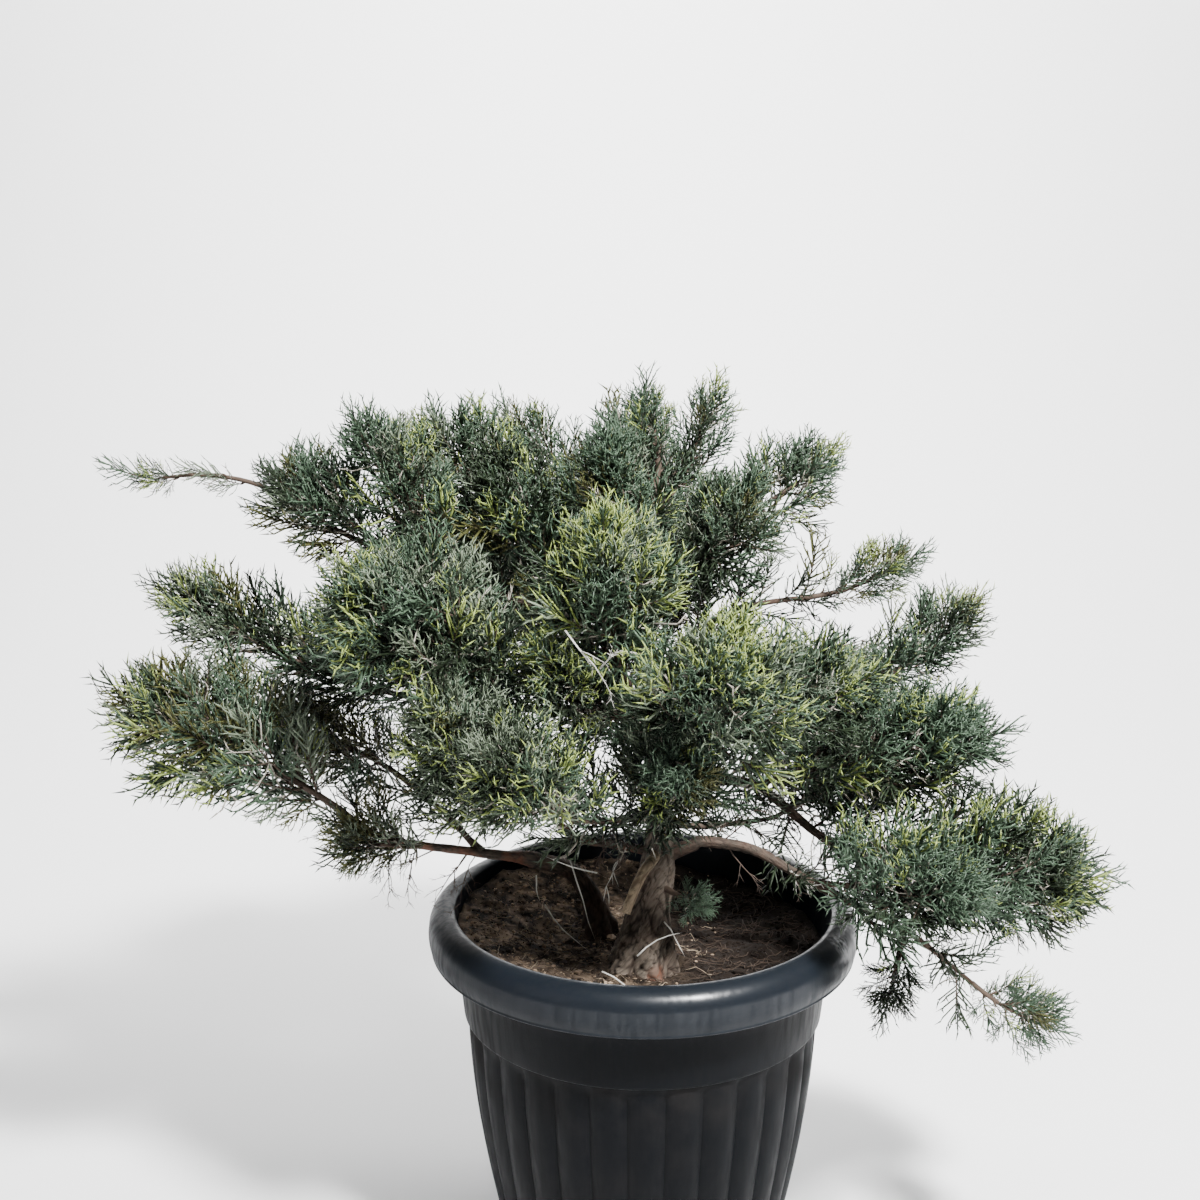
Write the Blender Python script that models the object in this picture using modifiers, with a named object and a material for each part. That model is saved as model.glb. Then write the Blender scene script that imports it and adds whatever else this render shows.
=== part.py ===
"""A spreading juniper-like conifer in a round fluted pot.

Units are metres, +Z is up, and the origin is the centre of the pot's flat underside. Heights of
the plant are given above the crest of the pot's rim, and are turned into world heights by place().
Each limb is a tapering tube along a smooth line through a few named spots. Each mass of foliage
fills a long plume from the end of its limb to its own tip, by one seeded rule of growth.
"""
import math
import random

import bmesh
import bpy
from mathutils import Matrix, Vector

# Pot
RIM_HEIGHT = 0.42           # crest of the rolled rim above the ground
RIM_RADIUS = 0.25           # widest ring of the rolled rim
CREST_RADIUS = 0.227        # highest ring of the rim
ROLL_DEPTH = 0.050          # height of the rolled rim
LIP_RADIUS = 0.244          # lower edge of the roll
BAND_RADIUS = 0.2175        # plain band under the roll, at its top
BAND_END_RADIUS = 0.2105    # the same at its lower edge
BAND_END = 0.128            # depth of that edge below the crest
BODY_RADIUS = 0.2055        # fluted body, at its top
FOOT_RADIUS = 0.170         # fluted body, at the foot
BODY_CURVE = 1.7            # how much faster the body narrows towards the foot
FOOT_RING = 0.173           # plain ring that the pot stands on
FOOT_HEIGHT = 0.025         # height of that ring
FLUTES = 30
FLUTE_DEPTH = 0.005
WALL = 0.004
FLOOR = 0.010
FLUTE_SPANS = 2             # rings between the top and the end of the flutes
POT_SIDES = 2 * FLUTES

# Soil
SOIL_DEPTH = 0.042          # level of the soil's flat middle, below the crest
SOIL_FLAT = 0.150           # radius of that flat middle
SOIL_BANK = 0.018           # rise of the soil against the left wall
SOIL_SIDES = 30

# Limbs and foliage
WELD = 0.000002             # points of a union closer than this are one
FINE_WELD = 0.0000002       # the same, for a union that the first weld leaves open
CLEAR = 0.0003              # gap between neighbouring solids
ROOT_TAPER = 2.5            # how much faster a stem narrows above its root than near its end
COLLAR = 0.010              # how far a limb's collar stands out of its parent
FORK_ANGLE = math.radians(50)   # least angle between a limb and what grows from its side
CELL_GAP = 0.0006           # half the gap between two masses
LIMB_GAP = 0.003            # gap between foliage and limbs
TWIG_RADIUS = 0.0026
SPRAY_LENGTH = 0.125
SPRAY_WIDTH = 0.096         # from tooth to tooth
SPRAY_THICKNESS = 0.004
ROOT_DEPTH = 0.008          # how deep a spray's root is sunk
TIP_SPRAY = 0.085           # the stem of a mass ends this far from its tip
FORK_SPREAD = 1.1           # slope of a side spray against its twig
SPRAY_SPACING = 0.30        # least distance between two sprays of a mass, for their width
DENSE_RADIUS = 0.050        # a plume wider than this has a core
CORE_PLACE = 0.55           # centre of a mass's core, as a share of the way to its tip
CORE_LENGTH = 0.38          # half the core's length, for the mass's length
CORE_WIDTH = 0.72           # the core's radius, for the plume's
CORE_DIP = 0.74             # radius of the core's hollows, for its points
GOLDEN_ANGLE = math.radians(137.5)

# Each limb: its parent, its radius at each end, then the spots it runs through, as
# (right, back, height above the rim's crest). The first spot is moved onto its parent's line.
LIMBS = {
    "trunk": (None, 0.030, 0.0045, (
        (-0.005, -0.100, -SOIL_DEPTH), (0.004, -0.090, 0.030), (0.018, -0.060, 0.094),
        (0.014, -0.020, 0.177), (0.002, 0.015, 0.320), (-0.004, 0.028, 0.414), (0.012, 0.034, 0.487))),
    "stem_left": (None, 0.016, 0.009, (
        (-0.051, 0.020, -SOIL_DEPTH), (-0.062, 0.014, 0.000), (-0.086, 0.000, 0.038),
        (-0.128, -0.022, 0.060))),
    "bough_left_low": ("stem_left", 0.0085, 0.0045, (
        (-0.128, -0.022, 0.060), (-0.198, -0.050, 0.081), (-0.289, -0.070, 0.104),
        (-0.338, -0.077, 0.140))),
    "bough_left_fork": ("bough_left_low", 0.0055, 0.004, (
        (-0.185, -0.044, 0.078), (-0.226, -0.016, 0.112), (-0.270, 0.006, 0.142))),
    "bough_left_mid": ("trunk", 0.008, 0.004, (
        (0.008, 0.000, 0.235), (-0.090, 0.006, 0.232), (-0.170, 0.012, 0.232),
        (-0.238, 0.018, 0.238))),
    "bough_left_high": ("trunk", 0.008, 0.0035, (
        (0.004, 0.010, 0.290), (-0.110, 0.020, 0.345), (-0.230, 0.024, 0.385),
        (-0.340, 0.044, 0.428), (-0.404, 0.054, 0.466))),
    "bough_front_left": ("trunk", 0.0065, 0.004, (
        (0.016, -0.066, 0.086), (-0.040, -0.060, 0.094), (-0.080, -0.060, 0.104),
        (-0.126, -0.070, 0.160), (-0.150, -0.086, 0.240))),
    "bough_top_left": ("trunk", 0.006, 0.004, (
        (0.000, 0.020, 0.345), (-0.060, 0.060, 0.400), (-0.120, 0.090, 0.440))),
    "bough_top_right": ("trunk", 0.006, 0.004, (
        (0.002, 0.016, 0.325), (0.045, 0.036, 0.368), (0.090, 0.062, 0.412))),
    "bough_upper_right": ("trunk", 0.0065, 0.0035, (
        (0.006, 0.006, 0.270), (0.060, 0.012, 0.322), (0.120, 0.018, 0.350),
        (0.186, 0.020, 0.360))),
    "bough_right_mid": ("trunk", 0.008, 0.004, (
        (0.012, -0.012, 0.195), (0.090, -0.002, 0.224), (0.160, 0.012, 0.232),
        (0.232, 0.026, 0.246))),
    "bough_right_dark": ("trunk", 0.010, 0.005, (
        (0.016, -0.040, 0.140), (0.070, -0.014, 0.152), (0.130, -0.002, 0.142),
        (0.206, -0.020, 0.086), (0.262, -0.040, 0.064))),
    "bough_right_low": ("trunk", 0.0095, 0.003, (
        (0.014, -0.066, 0.082), (0.068, -0.062, 0.097), (0.121, -0.062, 0.088),
        (0.174, -0.070, 0.060), (0.232, -0.082, 0.032), (0.300, -0.100, 0.000),
        (0.366, -0.119, -0.050))),
    "bough_right_thin": ("trunk", 0.005, 0.0035, (
        (0.017, -0.050, 0.112), (0.077, -0.030, 0.104), (0.145, 0.020, 0.094),
        (0.170, 0.042, 0.096))),
    "bough_cut": ("trunk", 0.0058, 0.0050, (
        (0.016, -0.064, 0.088), (-0.002, -0.118, 0.084), (-0.014, -0.132, 0.064),
        (-0.022, -0.138, 0.044))),
    "bough_front_low": ("trunk", 0.007, 0.004, (
        (0.018, -0.052, 0.118), (-0.014, -0.104, 0.140), (-0.042, -0.146, 0.152),
        (-0.060, -0.172, 0.162))),
    "bough_front_mid": ("trunk", 0.006, 0.004, (
        (0.012, -0.014, 0.188), (-0.004, -0.070, 0.246), (-0.020, -0.106, 0.294))),
    "bough_front_right": ("trunk", 0.007, 0.004, (
        (0.017, -0.044, 0.130), (0.030, -0.100, 0.184), (0.036, -0.144, 0.224))),
    "bough_rear_left": ("trunk", 0.009, 0.0045, (
        (0.012, -0.016, 0.182), (-0.040, 0.070, 0.222), (-0.080, 0.120, 0.246))),
    "bough_rear_right": ("trunk", 0.009, 0.0045, (
        (0.010, -0.008, 0.205), (0.060, 0.070, 0.240), (0.098, 0.112, 0.256))),
    "bough_rear_mid": ("trunk", 0.008, 0.004, (
        (0.006, 0.004, 0.255), (0.004, 0.080, 0.296), (0.002, 0.130, 0.318))),
}

# Each mass: the limb it grows from, the spot on that limb (None at its end), its tip, the radius
# of its plume, and how many twigs leave its stem.
MASSES = {
    "whip": ("bough_left_high", None, (-0.618, 0.050, 0.500), 0.030, 1),
    "left_high": ("bough_left_high", (-0.290, 0.034, 0.408), (-0.437, 0.016, 0.505), 0.086, 3),
    "left_leader": ("bough_left_high", (-0.200, 0.022, 0.376), (-0.331, -0.030, 0.580), 0.078, 4),
    "left_back": ("bough_left_mid", (-0.150, 0.010, 0.232), (-0.330, 0.120, 0.370), 0.129, 3),
    "left_mid": ("bough_left_mid", None, (-0.582, 0.056, 0.366), 0.086, 4),
    "left_low": ("bough_left_low", None, (-0.594, -0.056, 0.272), 0.112, 4),
    "left_droop": ("bough_left_fork", None, (-0.470, 0.070, 0.212), 0.078, 2),
    "left_olive": ("bough_left_low", (-0.250, -0.062, 0.095), (-0.355, -0.130, 0.128), 0.056, 1),
    "front_left": ("bough_front_left", None, (-0.324, -0.160, 0.420), 0.146, 4),
    "front_left_low": ("bough_front_left", (-0.120, -0.068, 0.150), (-0.226, -0.240, 0.308), 0.108, 4),
    "top_left": ("bough_top_left", None, (-0.315, 0.124, 0.534), 0.096, 3),
    "top_tuft": ("bough_top_left", (-0.060, 0.060, 0.400), (-0.178, 0.160, 0.570), 0.064, 2),
    "upper_left": ("bough_left_high", (-0.090, 0.018, 0.336), (-0.176, 0.016, 0.526), 0.123, 4),
    "centre_high": ("trunk", (-0.002, 0.024, 0.385), (-0.052, -0.040, 0.564), 0.086, 3),
    "crown_top": ("trunk", None, (-0.006, 0.052, 0.614), 0.048, 1),
    "crown_side": ("trunk", (0.003, 0.031, 0.450), (0.094, 0.090, 0.604), 0.062, 2),
    "top_right": ("bough_top_right", None, (0.238, 0.110, 0.522), 0.076, 2),
    "upper_mid": ("bough_top_right", (0.045, 0.036, 0.368), (0.122, -0.030, 0.492), 0.108, 4),
    "upper_right": ("bough_upper_right", None, (0.328, 0.020, 0.410), 0.050, 2),
    "right_mid": ("bough_right_mid", (0.090, -0.002, 0.224), (0.256, -0.066, 0.284), 0.098, 4),
    "right_spur": ("bough_right_mid", None, (0.404, 0.056, 0.352), 0.070, 3),
    "right_inner": ("bough_right_thin", None, (0.306, 0.110, 0.150), 0.118, 4),
    "right_upper": ("bough_right_dark", (0.130, -0.002, 0.142), (0.404, -0.050, 0.214), 0.123, 4),
    "right_tip": ("bough_right_dark", None, (0.510, -0.100, 0.062), 0.129, 4),
    "right_front": ("bough_right_low", (0.190, -0.073, 0.052), (0.350, -0.220, 0.094), 0.108, 3),
    "right_hang": ("bough_right_low", (0.290, -0.097, 0.005), (0.264, -0.116, -0.106), 0.046, 1),
    "right_end": ("bough_right_low", None, (0.470, -0.130, -0.114), 0.058, 1),
    "centre": ("bough_front_mid", None, (-0.052, -0.200, 0.490), 0.112, 3),
    "centre_left": ("bough_front_mid", (-0.004, -0.070, 0.246), (-0.118, -0.200, 0.350), 0.090, 3),
    "centre_right": ("bough_front_right", None, (0.064, -0.320, 0.374), 0.134, 4),
    "front_low": ("bough_front_low", None, (-0.180, -0.300, 0.280), 0.086, 4),
    "front_centre": ("bough_front_low", (-0.014, -0.104, 0.140), (0.052, -0.285, 0.262), 0.086, 3),
    "trunk_sprig": ("trunk", (0.012, -0.078, 0.055), (0.070, -0.160, 0.052), 0.036, 1),
    "rear_left": ("bough_rear_left", None, (-0.320, 0.350, 0.340), 0.168, 4),
    "rear_right": ("bough_rear_right", None, (0.330, 0.330, 0.170), 0.140, 4),
    "rear_mid": ("bough_rear_mid", None, (-0.010, 0.410, 0.400), 0.168, 4),
    "rear_top": ("trunk", (-0.002, 0.022, 0.365), (-0.020, 0.250, 0.530), 0.140, 4),
}

# Colour (linear red, green, blue), roughness and metallic value
COLOURS = {
    "pot": ((0.020, 0.024, 0.029), 0.42, 0.0),
    "soil": ((0.060, 0.040, 0.026), 0.95, 0.0),
    "bark": ((0.110, 0.076, 0.055), 0.85, 0.0),
    "dead_wood": ((0.350, 0.260, 0.170), 0.80, 0.0),
    "foliage": ((0.065, 0.120, 0.085), 0.70, 0.0),
    "young_foliage": ((0.150, 0.210, 0.060), 0.70, 0.0),
}
YOUNG = ("centre", "centre_right", "front_low", "left_low", "right_end")


def place(spot):
    """World place of a spot whose height is above the rim's crest."""
    return Vector((spot[0], spot[1], spot[2] + RIM_HEIGHT))


def material(name):
    """The named Principled material, made once."""
    found = bpy.data.materials.get(name)
    if found:
        return found
    colour, roughness, metallic = COLOURS[name]
    made = bpy.data.materials.new(name)
    made.use_nodes = True
    shader = made.node_tree.nodes["Principled BSDF"]
    shader.inputs["Base Color"].default_value = (*colour, 1.0)
    shader.inputs["Roughness"].default_value = roughness
    shader.inputs["Metallic"].default_value = metallic
    return made


def add_object(name, mesh, collection, paint=None):
    """Link a new object for the mesh into the collection."""
    made = bpy.data.objects.new(name, mesh)
    collection.objects.link(made)
    if paint:
        mesh.materials.clear()
        mesh.materials.append(material(paint))
    return made


def baked_mesh(made):
    """The object's evaluated mesh, welded and facing out. The object is removed."""
    depsgraph = bpy.context.evaluated_depsgraph_get()
    mesh = bpy.data.meshes.new_from_object(made.evaluated_get(depsgraph))
    source = made.data
    bpy.data.objects.remove(made)
    if isinstance(source, bpy.types.Curve):
        bpy.data.curves.remove(source)
    bm = bmesh.new()
    bm.from_mesh(mesh)
    bmesh.ops.remove_doubles(bm, verts=bm.verts, dist=0.00001)
    bmesh.ops.recalc_face_normals(bm, faces=bm.faces)
    bm.to_mesh(mesh)
    bm.free()
    return mesh


# ---------------------------------------------------------------- pot and soil

def body_radius(depth):
    """Outer radius of the fluted body at a depth below the crest: it narrows faster and faster."""
    share = (depth - BAND_END) / (RIM_HEIGHT - FOOT_HEIGHT - BAND_END)
    return BODY_RADIUS - (BODY_RADIUS - FOOT_RADIUS) * share ** BODY_CURVE


def roll_points():
    """The rolled rim's section, from its crest over its widest ring to the lip."""
    points = []
    for angle in (0, 45, 90):
        turn = math.radians(angle)
        radius = CREST_RADIUS + (RIM_RADIUS - CREST_RADIUS) * math.sin(turn)
        points.append((radius, ROLL_DEPTH / 2 * (1 - math.cos(turn))))
    points.append((LIP_RADIUS, ROLL_DEPTH))
    return points


def flute_depths():
    """Depths of the rings that carry the flutes."""
    first = BAND_END + 0.003
    last = RIM_HEIGHT - FOOT_HEIGHT - 0.003
    return [first + (last - first) * step / FLUTE_SPANS for step in range(FLUTE_SPANS + 1)]


def pot_inside():
    """The inner wall and floor, from the crest down to the axis, as (radius, depth)."""
    middle = flute_depths()[(FLUTE_SPANS + 1) // 2]
    thick = FLUTE_DEPTH + WALL
    return [(CREST_RADIUS - 0.007, 0.005), (BODY_RADIUS - thick, BAND_END),
            (body_radius(middle) - thick, middle), (FOOT_RADIUS - thick, RIM_HEIGHT - FLOOR)]


def turned(name, profile, sides, collection):
    """A solid turned about Z from an open profile of (radius, height) that starts and ends on the axis."""
    mesh = bpy.data.meshes.new(name)
    bm = bmesh.new()
    verts = [bm.verts.new((radius, 0.0, height)) for radius, height in profile]
    for first, second in zip(verts, verts[1:]):
        bm.edges.new((first, second))
    bm.to_mesh(mesh)
    bm.free()
    made = add_object(name, mesh, collection)
    screw = made.modifiers.new("Turn", "SCREW")
    screw.steps = sides
    screw.render_steps = sides
    screw.use_merge_vertices = True
    screw.merge_threshold = 0.00001
    screw.use_normal_calculate = True
    baked = baked_mesh(made)
    bpy.data.meshes.remove(mesh)
    return baked


def make_pot(collection):
    """Rolled rim, plain band, fluted body and foot ring, open at the top."""
    low = RIM_HEIGHT - FOOT_HEIGHT
    outside = roll_points()
    outside.append((BAND_RADIUS, ROLL_DEPTH + 0.002))
    outside.append((BAND_END_RADIUS, BAND_END))
    outside += [(body_radius(depth), depth) for depth in flute_depths()]
    outside.append((FOOT_RING, low))
    outside.append((FOOT_RING - 0.001, RIM_HEIGHT))
    profile = [(0.0, RIM_HEIGHT - FLOOR)] + pot_inside()[::-1] + outside + [(0.0, RIM_HEIGHT)]
    mesh = turned("pot", [(radius, RIM_HEIGHT - depth) for radius, depth in profile], POT_SIDES, collection)
    heights = [RIM_HEIGHT - depth for depth in flute_depths()]
    for vert in mesh.vertices:
        radius = math.hypot(vert.co.x, vert.co.y)
        fluted = any(abs(vert.co.z - height) < 0.0005 for height in heights)
        outer = fluted and abs(radius - body_radius(RIM_HEIGHT - vert.co.z)) < 0.001
        side = round(math.degrees(math.atan2(vert.co.x, -vert.co.y)) / (360 / POT_SIDES))
        if outer and side % 2 == 1:
            vert.co.x *= 1 - FLUTE_DEPTH / radius
            vert.co.y *= 1 - FLUTE_DEPTH / radius
    mesh.shade_smooth()
    mesh.set_sharp_from_angle(angle=math.radians(30))
    add_object("pot", mesh, collection, "pot")


def make_soil(collection):
    """Soil that fills the pot, flat in the middle and banked against the left wall."""
    top, *rows = pot_inside()
    inner = [(radius - CLEAR - 0.0002, depth) for radius, depth in rows[:-1]]
    floor_radius, floor_depth = rows[-1]
    inner.append((floor_radius - 0.001, floor_depth - CLEAR))
    edge = top[0] + (rows[0][0] - top[0]) * (SOIL_DEPTH - top[1]) / (rows[0][1] - top[1]) - CLEAR - 0.0002
    profile = [(0.0, SOIL_DEPTH), (SOIL_FLAT, SOIL_DEPTH), (edge, SOIL_DEPTH)] + inner + [(0.0, inner[-1][1])]
    mesh = turned("soil", [(radius, RIM_HEIGHT - depth) for radius, depth in profile], SOIL_SIDES, collection)
    for vert in mesh.vertices:
        radius = math.hypot(vert.co.x, vert.co.y)
        if abs(vert.co.z - RIM_HEIGHT + SOIL_DEPTH) < 0.0005 and radius > SOIL_FLAT + 0.01:
            bank = 0.5 - 0.5 * vert.co.x / radius
            vert.co.z += SOIL_BANK * bank
    add_object("soil", mesh, collection, "soil")


# ---------------------------------------------------------------- limbs

def smooth_line(spots, per_span):
    """Points of a Catmull-Rom line through the spots."""
    points = []
    count = len(spots) - 1
    for span in range(count):
        before = spots[max(span - 1, 0)]
        start = spots[span]
        end = spots[span + 1]
        after = spots[min(span + 2, count)]
        for step in range(per_span):
            t = step / per_span
            cubic = 3 * start - before - 3 * end + after
            square = 2 * before - 5 * start + 4 * end - after
            linear = end - before
            points.append((2 * start + linear * t + square * t ** 2 + cubic * t ** 3) / 2)
    points.append(spots[-1])
    return points


def taper(points, first, last, power):
    """A radius for each point, falling along the line's length: evenly where the power is 1."""
    runs = [0.0]
    for start, end in zip(points, points[1:]):
        runs.append(runs[-1] + (end - start).length)
    return [last + (first - last) * (1 - run / runs[-1]) ** power for run in runs]


def tube_mesh(name, points, radii, resolution, collection):
    """A closed tube with flat ends along the points. Resolution 0 has 4 sides, 1 has 6, 2 has 8."""
    curve = bpy.data.curves.new(name, "CURVE")
    curve.dimensions = "3D"
    curve.bevel_depth = 1.0
    curve.bevel_resolution = resolution
    curve.use_fill_caps = True
    spline = curve.splines.new("POLY")
    spline.points.add(len(points) - 1)
    for knot, point, radius in zip(spline.points, points, radii):
        knot.co = (*point, 1.0)
        knot.radius = radius
    return baked_mesh(add_object(name, curve, collection))


def nearest_on(points, radii, spot):
    """The point of the line nearest to the spot, the tube's radius there, and the line's direction."""
    best = None
    for a, b, ra, rb in zip(points, points[1:], radii, radii[1:]):
        run = b - a
        share = min(max((spot - a).dot(run) / run.length_squared, 0.0), 1.0)
        found = (a + run * share, ra + (rb - ra) * share, run.normalized())
        if best is None or (found[0] - spot).length < (best[0] - spot).length:
            best = found
    return best


class Limb:
    """A limb's line, its radii, and the collars that carry what grows from it."""

    def __init__(self, name, points, radii):
        self.name = name
        self.points = points
        self.radii = radii
        self.collars = []

    def socket(self, spot, toward, radius):
        """Start and direction for what grows here: the limb's flat end, or a new collar."""
        if spot is None:
            along = (self.points[-1] - self.points[-2]).normalized()
            return self.points[-1] + along * CLEAR, along
        base, thick, axis = nearest_on(self.points, self.radii, spot)
        along = (toward - base).normalized()
        if abs(along.dot(axis)) > math.cos(FORK_ANGLE):
            outward = (along - axis * along.dot(axis)).normalized()
            lengthways = math.copysign(math.cos(FORK_ANGLE), along.dot(axis))
            along = outward * math.sin(FORK_ANGLE) + axis * lengthways
        end = base + along * (thick + COLLAR)
        self.collars.append((base, end, radius))
        return end + along * CLEAR, along

    def capsules(self):
        """Each stretch of the limb and of its collars, as (start, end, radius)."""
        found = [(a, b, max(ra, rb)) for a, b, ra, rb in
                 zip(self.points, self.points[1:], self.radii, self.radii[1:])]
        return found + [(base, end, radius) for base, end, radius in self.collars]


def lay_out_limbs():
    """Lines and radii of all limbs. A bough starts at a collar of its parent, or at its end."""
    limbs = {}
    for name, (parent, first, last, spots) in LIMBS.items():
        spots = [place(spot) for spot in spots]
        if parent:
            at_end = (limbs[parent].points[-1] - spots[0]).length < 0.01
            start, along = limbs[parent].socket(None if at_end else spots[0], spots[1], first)
            spots = [start, start + along * 0.012] + spots[1:]
        points = smooth_line(spots, 2)
        if parent:
            points = [points[0]] + points[2:]
        limbs[name] = Limb(name, points, taper(points, first, last, 1 if parent else ROOT_TAPER))
    return limbs


def join(name, mesh, pieces, collection, paint):
    """One object from the mesh and the pieces, by a Boolean union on their collection."""
    made = add_object(name, mesh, collection, paint)
    if not pieces:
        return made
    union = made.modifiers.new("Join", "BOOLEAN")
    union.operation = "UNION"
    union.operand_type = "COLLECTION"
    tools = bpy.data.collections.new("tools_" + name)
    bpy.context.scene.collection.children.link(tools)
    for number, piece in enumerate(pieces):
        tool = add_object(f"{name}_tool_{number}", piece, tools)
        tool.hide_render = True
        tool.display_type = "WIRE"
    union.collection = tools
    for solver, weld in (("EXACT", WELD), ("EXACT", FINE_WELD), ("MANIFOLD", WELD)):
        union.solver = solver
        depsgraph = bpy.context.evaluated_depsgraph_get()
        joined = bpy.data.meshes.new_from_object(made.evaluated_get(depsgraph))
        if tidy_mesh(joined, weld):
            break
    made.modifiers.clear()
    made.data = joined
    bpy.data.meshes.remove(mesh)
    for tool in list(tools.objects):
        tool_mesh = tool.data
        bpy.data.objects.remove(tool)
        bpy.data.meshes.remove(tool_mesh)
    bpy.data.collections.remove(tools)
    joined.materials.clear()
    joined.materials.append(material(paint))
    return made


def tidy_mesh(mesh, weld):
    """Weld a union's joint lines and keep its largest piece. Says whether that piece is closed."""
    bm = bmesh.new()
    bm.from_mesh(mesh)
    bmesh.ops.remove_doubles(bm, verts=bm.verts, dist=weld)
    bmesh.ops.dissolve_degenerate(bm, edges=bm.edges, dist=weld)
    bmesh.ops.triangulate(bm, faces=bm.faces)
    groups = []
    left = set(bm.faces)
    while left:
        stack = [left.pop()]
        group = list(stack)
        while stack:
            face = stack.pop()
            for edge in face.edges:
                for other in edge.link_faces:
                    if other in left:
                        left.remove(other)
                        stack.append(other)
                        group.append(other)
        groups.append(group)
    groups.sort(key=len)
    for group in groups[:-1]:
        bmesh.ops.delete(bm, geom=group, context="FACES")
    closed = all(len(edge.link_faces) == 2 for edge in bm.edges)
    bm.to_mesh(mesh)
    bm.free()
    return closed


def root_flare(limb, count, collection):
    """Buttress roots round a stem's foot, running down into the flat cut."""
    base = limb.points[0]
    radius = limb.radii[0]
    pieces = []
    for number in range(count):
        turn = number * math.tau / count + 0.4
        out = Vector((math.cos(turn), math.sin(turn), 0.0))
        top = base + out * radius * 0.35 + Vector((0.0, 0.0, radius * 2.0))
        foot = base + out * radius * 1.05 + Vector((0.0, 0.0, -radius * 0.6))
        pieces.append(tube_mesh("root", [top, foot], [radius * 0.35, radius * 0.45], 1, collection))
    return pieces


def cut_flat(made, height):
    """Cut the object off flat at a height, and close the cut."""
    bm = bmesh.new()
    bm.from_mesh(made.data)
    everything = bm.verts[:] + bm.edges[:] + bm.faces[:]
    cut = bmesh.ops.bisect_plane(bm, geom=everything, plane_co=(0, 0, height), plane_no=(0, 0, 1), clear_inner=True)
    rim = [item for item in cut["geom_cut"] if isinstance(item, bmesh.types.BMEdge)]
    bmesh.ops.holes_fill(bm, edges=rim)
    bmesh.ops.recalc_face_normals(bm, faces=bm.faces)
    bm.to_mesh(made.data)
    bm.free()


def make_limb(limb, collection):
    """The limb's tube with its collars joined on, and a flared foot on what stands in the soil."""
    rooted = LIMBS[limb.name][0] is None
    points = list(limb.points)
    if rooted:
        points[0] = points[0] + (points[0] - points[1]).normalized() * 0.012
    mesh = tube_mesh(limb.name, points, limb.radii, 2 if rooted else 1, collection)
    pieces = [tube_mesh("collar", [base, end], [radius * 1.3] * 2, 0, collection)
              for base, end, radius in limb.collars]
    if rooted:
        pieces += root_flare(limb, 5 if limb.name == "trunk" else 3, collection)
    paint = "dead_wood" if limb.name == "bough_cut" else "bark"
    made = join(limb.name, mesh, pieces, collection, paint)
    if rooted:
        cut_flat(made, limb.points[0].z + CLEAR)
    made.data.shade_smooth()
    made.data.set_sharp_from_angle(angle=math.radians(45))
    return made


# ---------------------------------------------------------------- foliage

def closest_between(a, b, c, d):
    """Closest points of the stretches a-b and c-d."""
    ab = b - a
    cd = d - c
    ac = c - a
    ab2 = ab.dot(ab)
    cd2 = cd.dot(cd)
    both = ab.dot(cd)
    spread = ab2 * cd2 - both * both
    s = 0.5 if spread < 1e-12 else (ac.dot(ab) * cd2 - ac.dot(cd) * both) / spread
    s = min(max(s, 0.0), 1.0)
    t = min(max(((a + ab * s) - c).dot(cd) / cd2, 0.0), 1.0)
    s = min(max(((c + cd * t) - a).dot(ab) / ab2, 0.0), 1.0)
    return a + ab * s, c + cd * t


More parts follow.
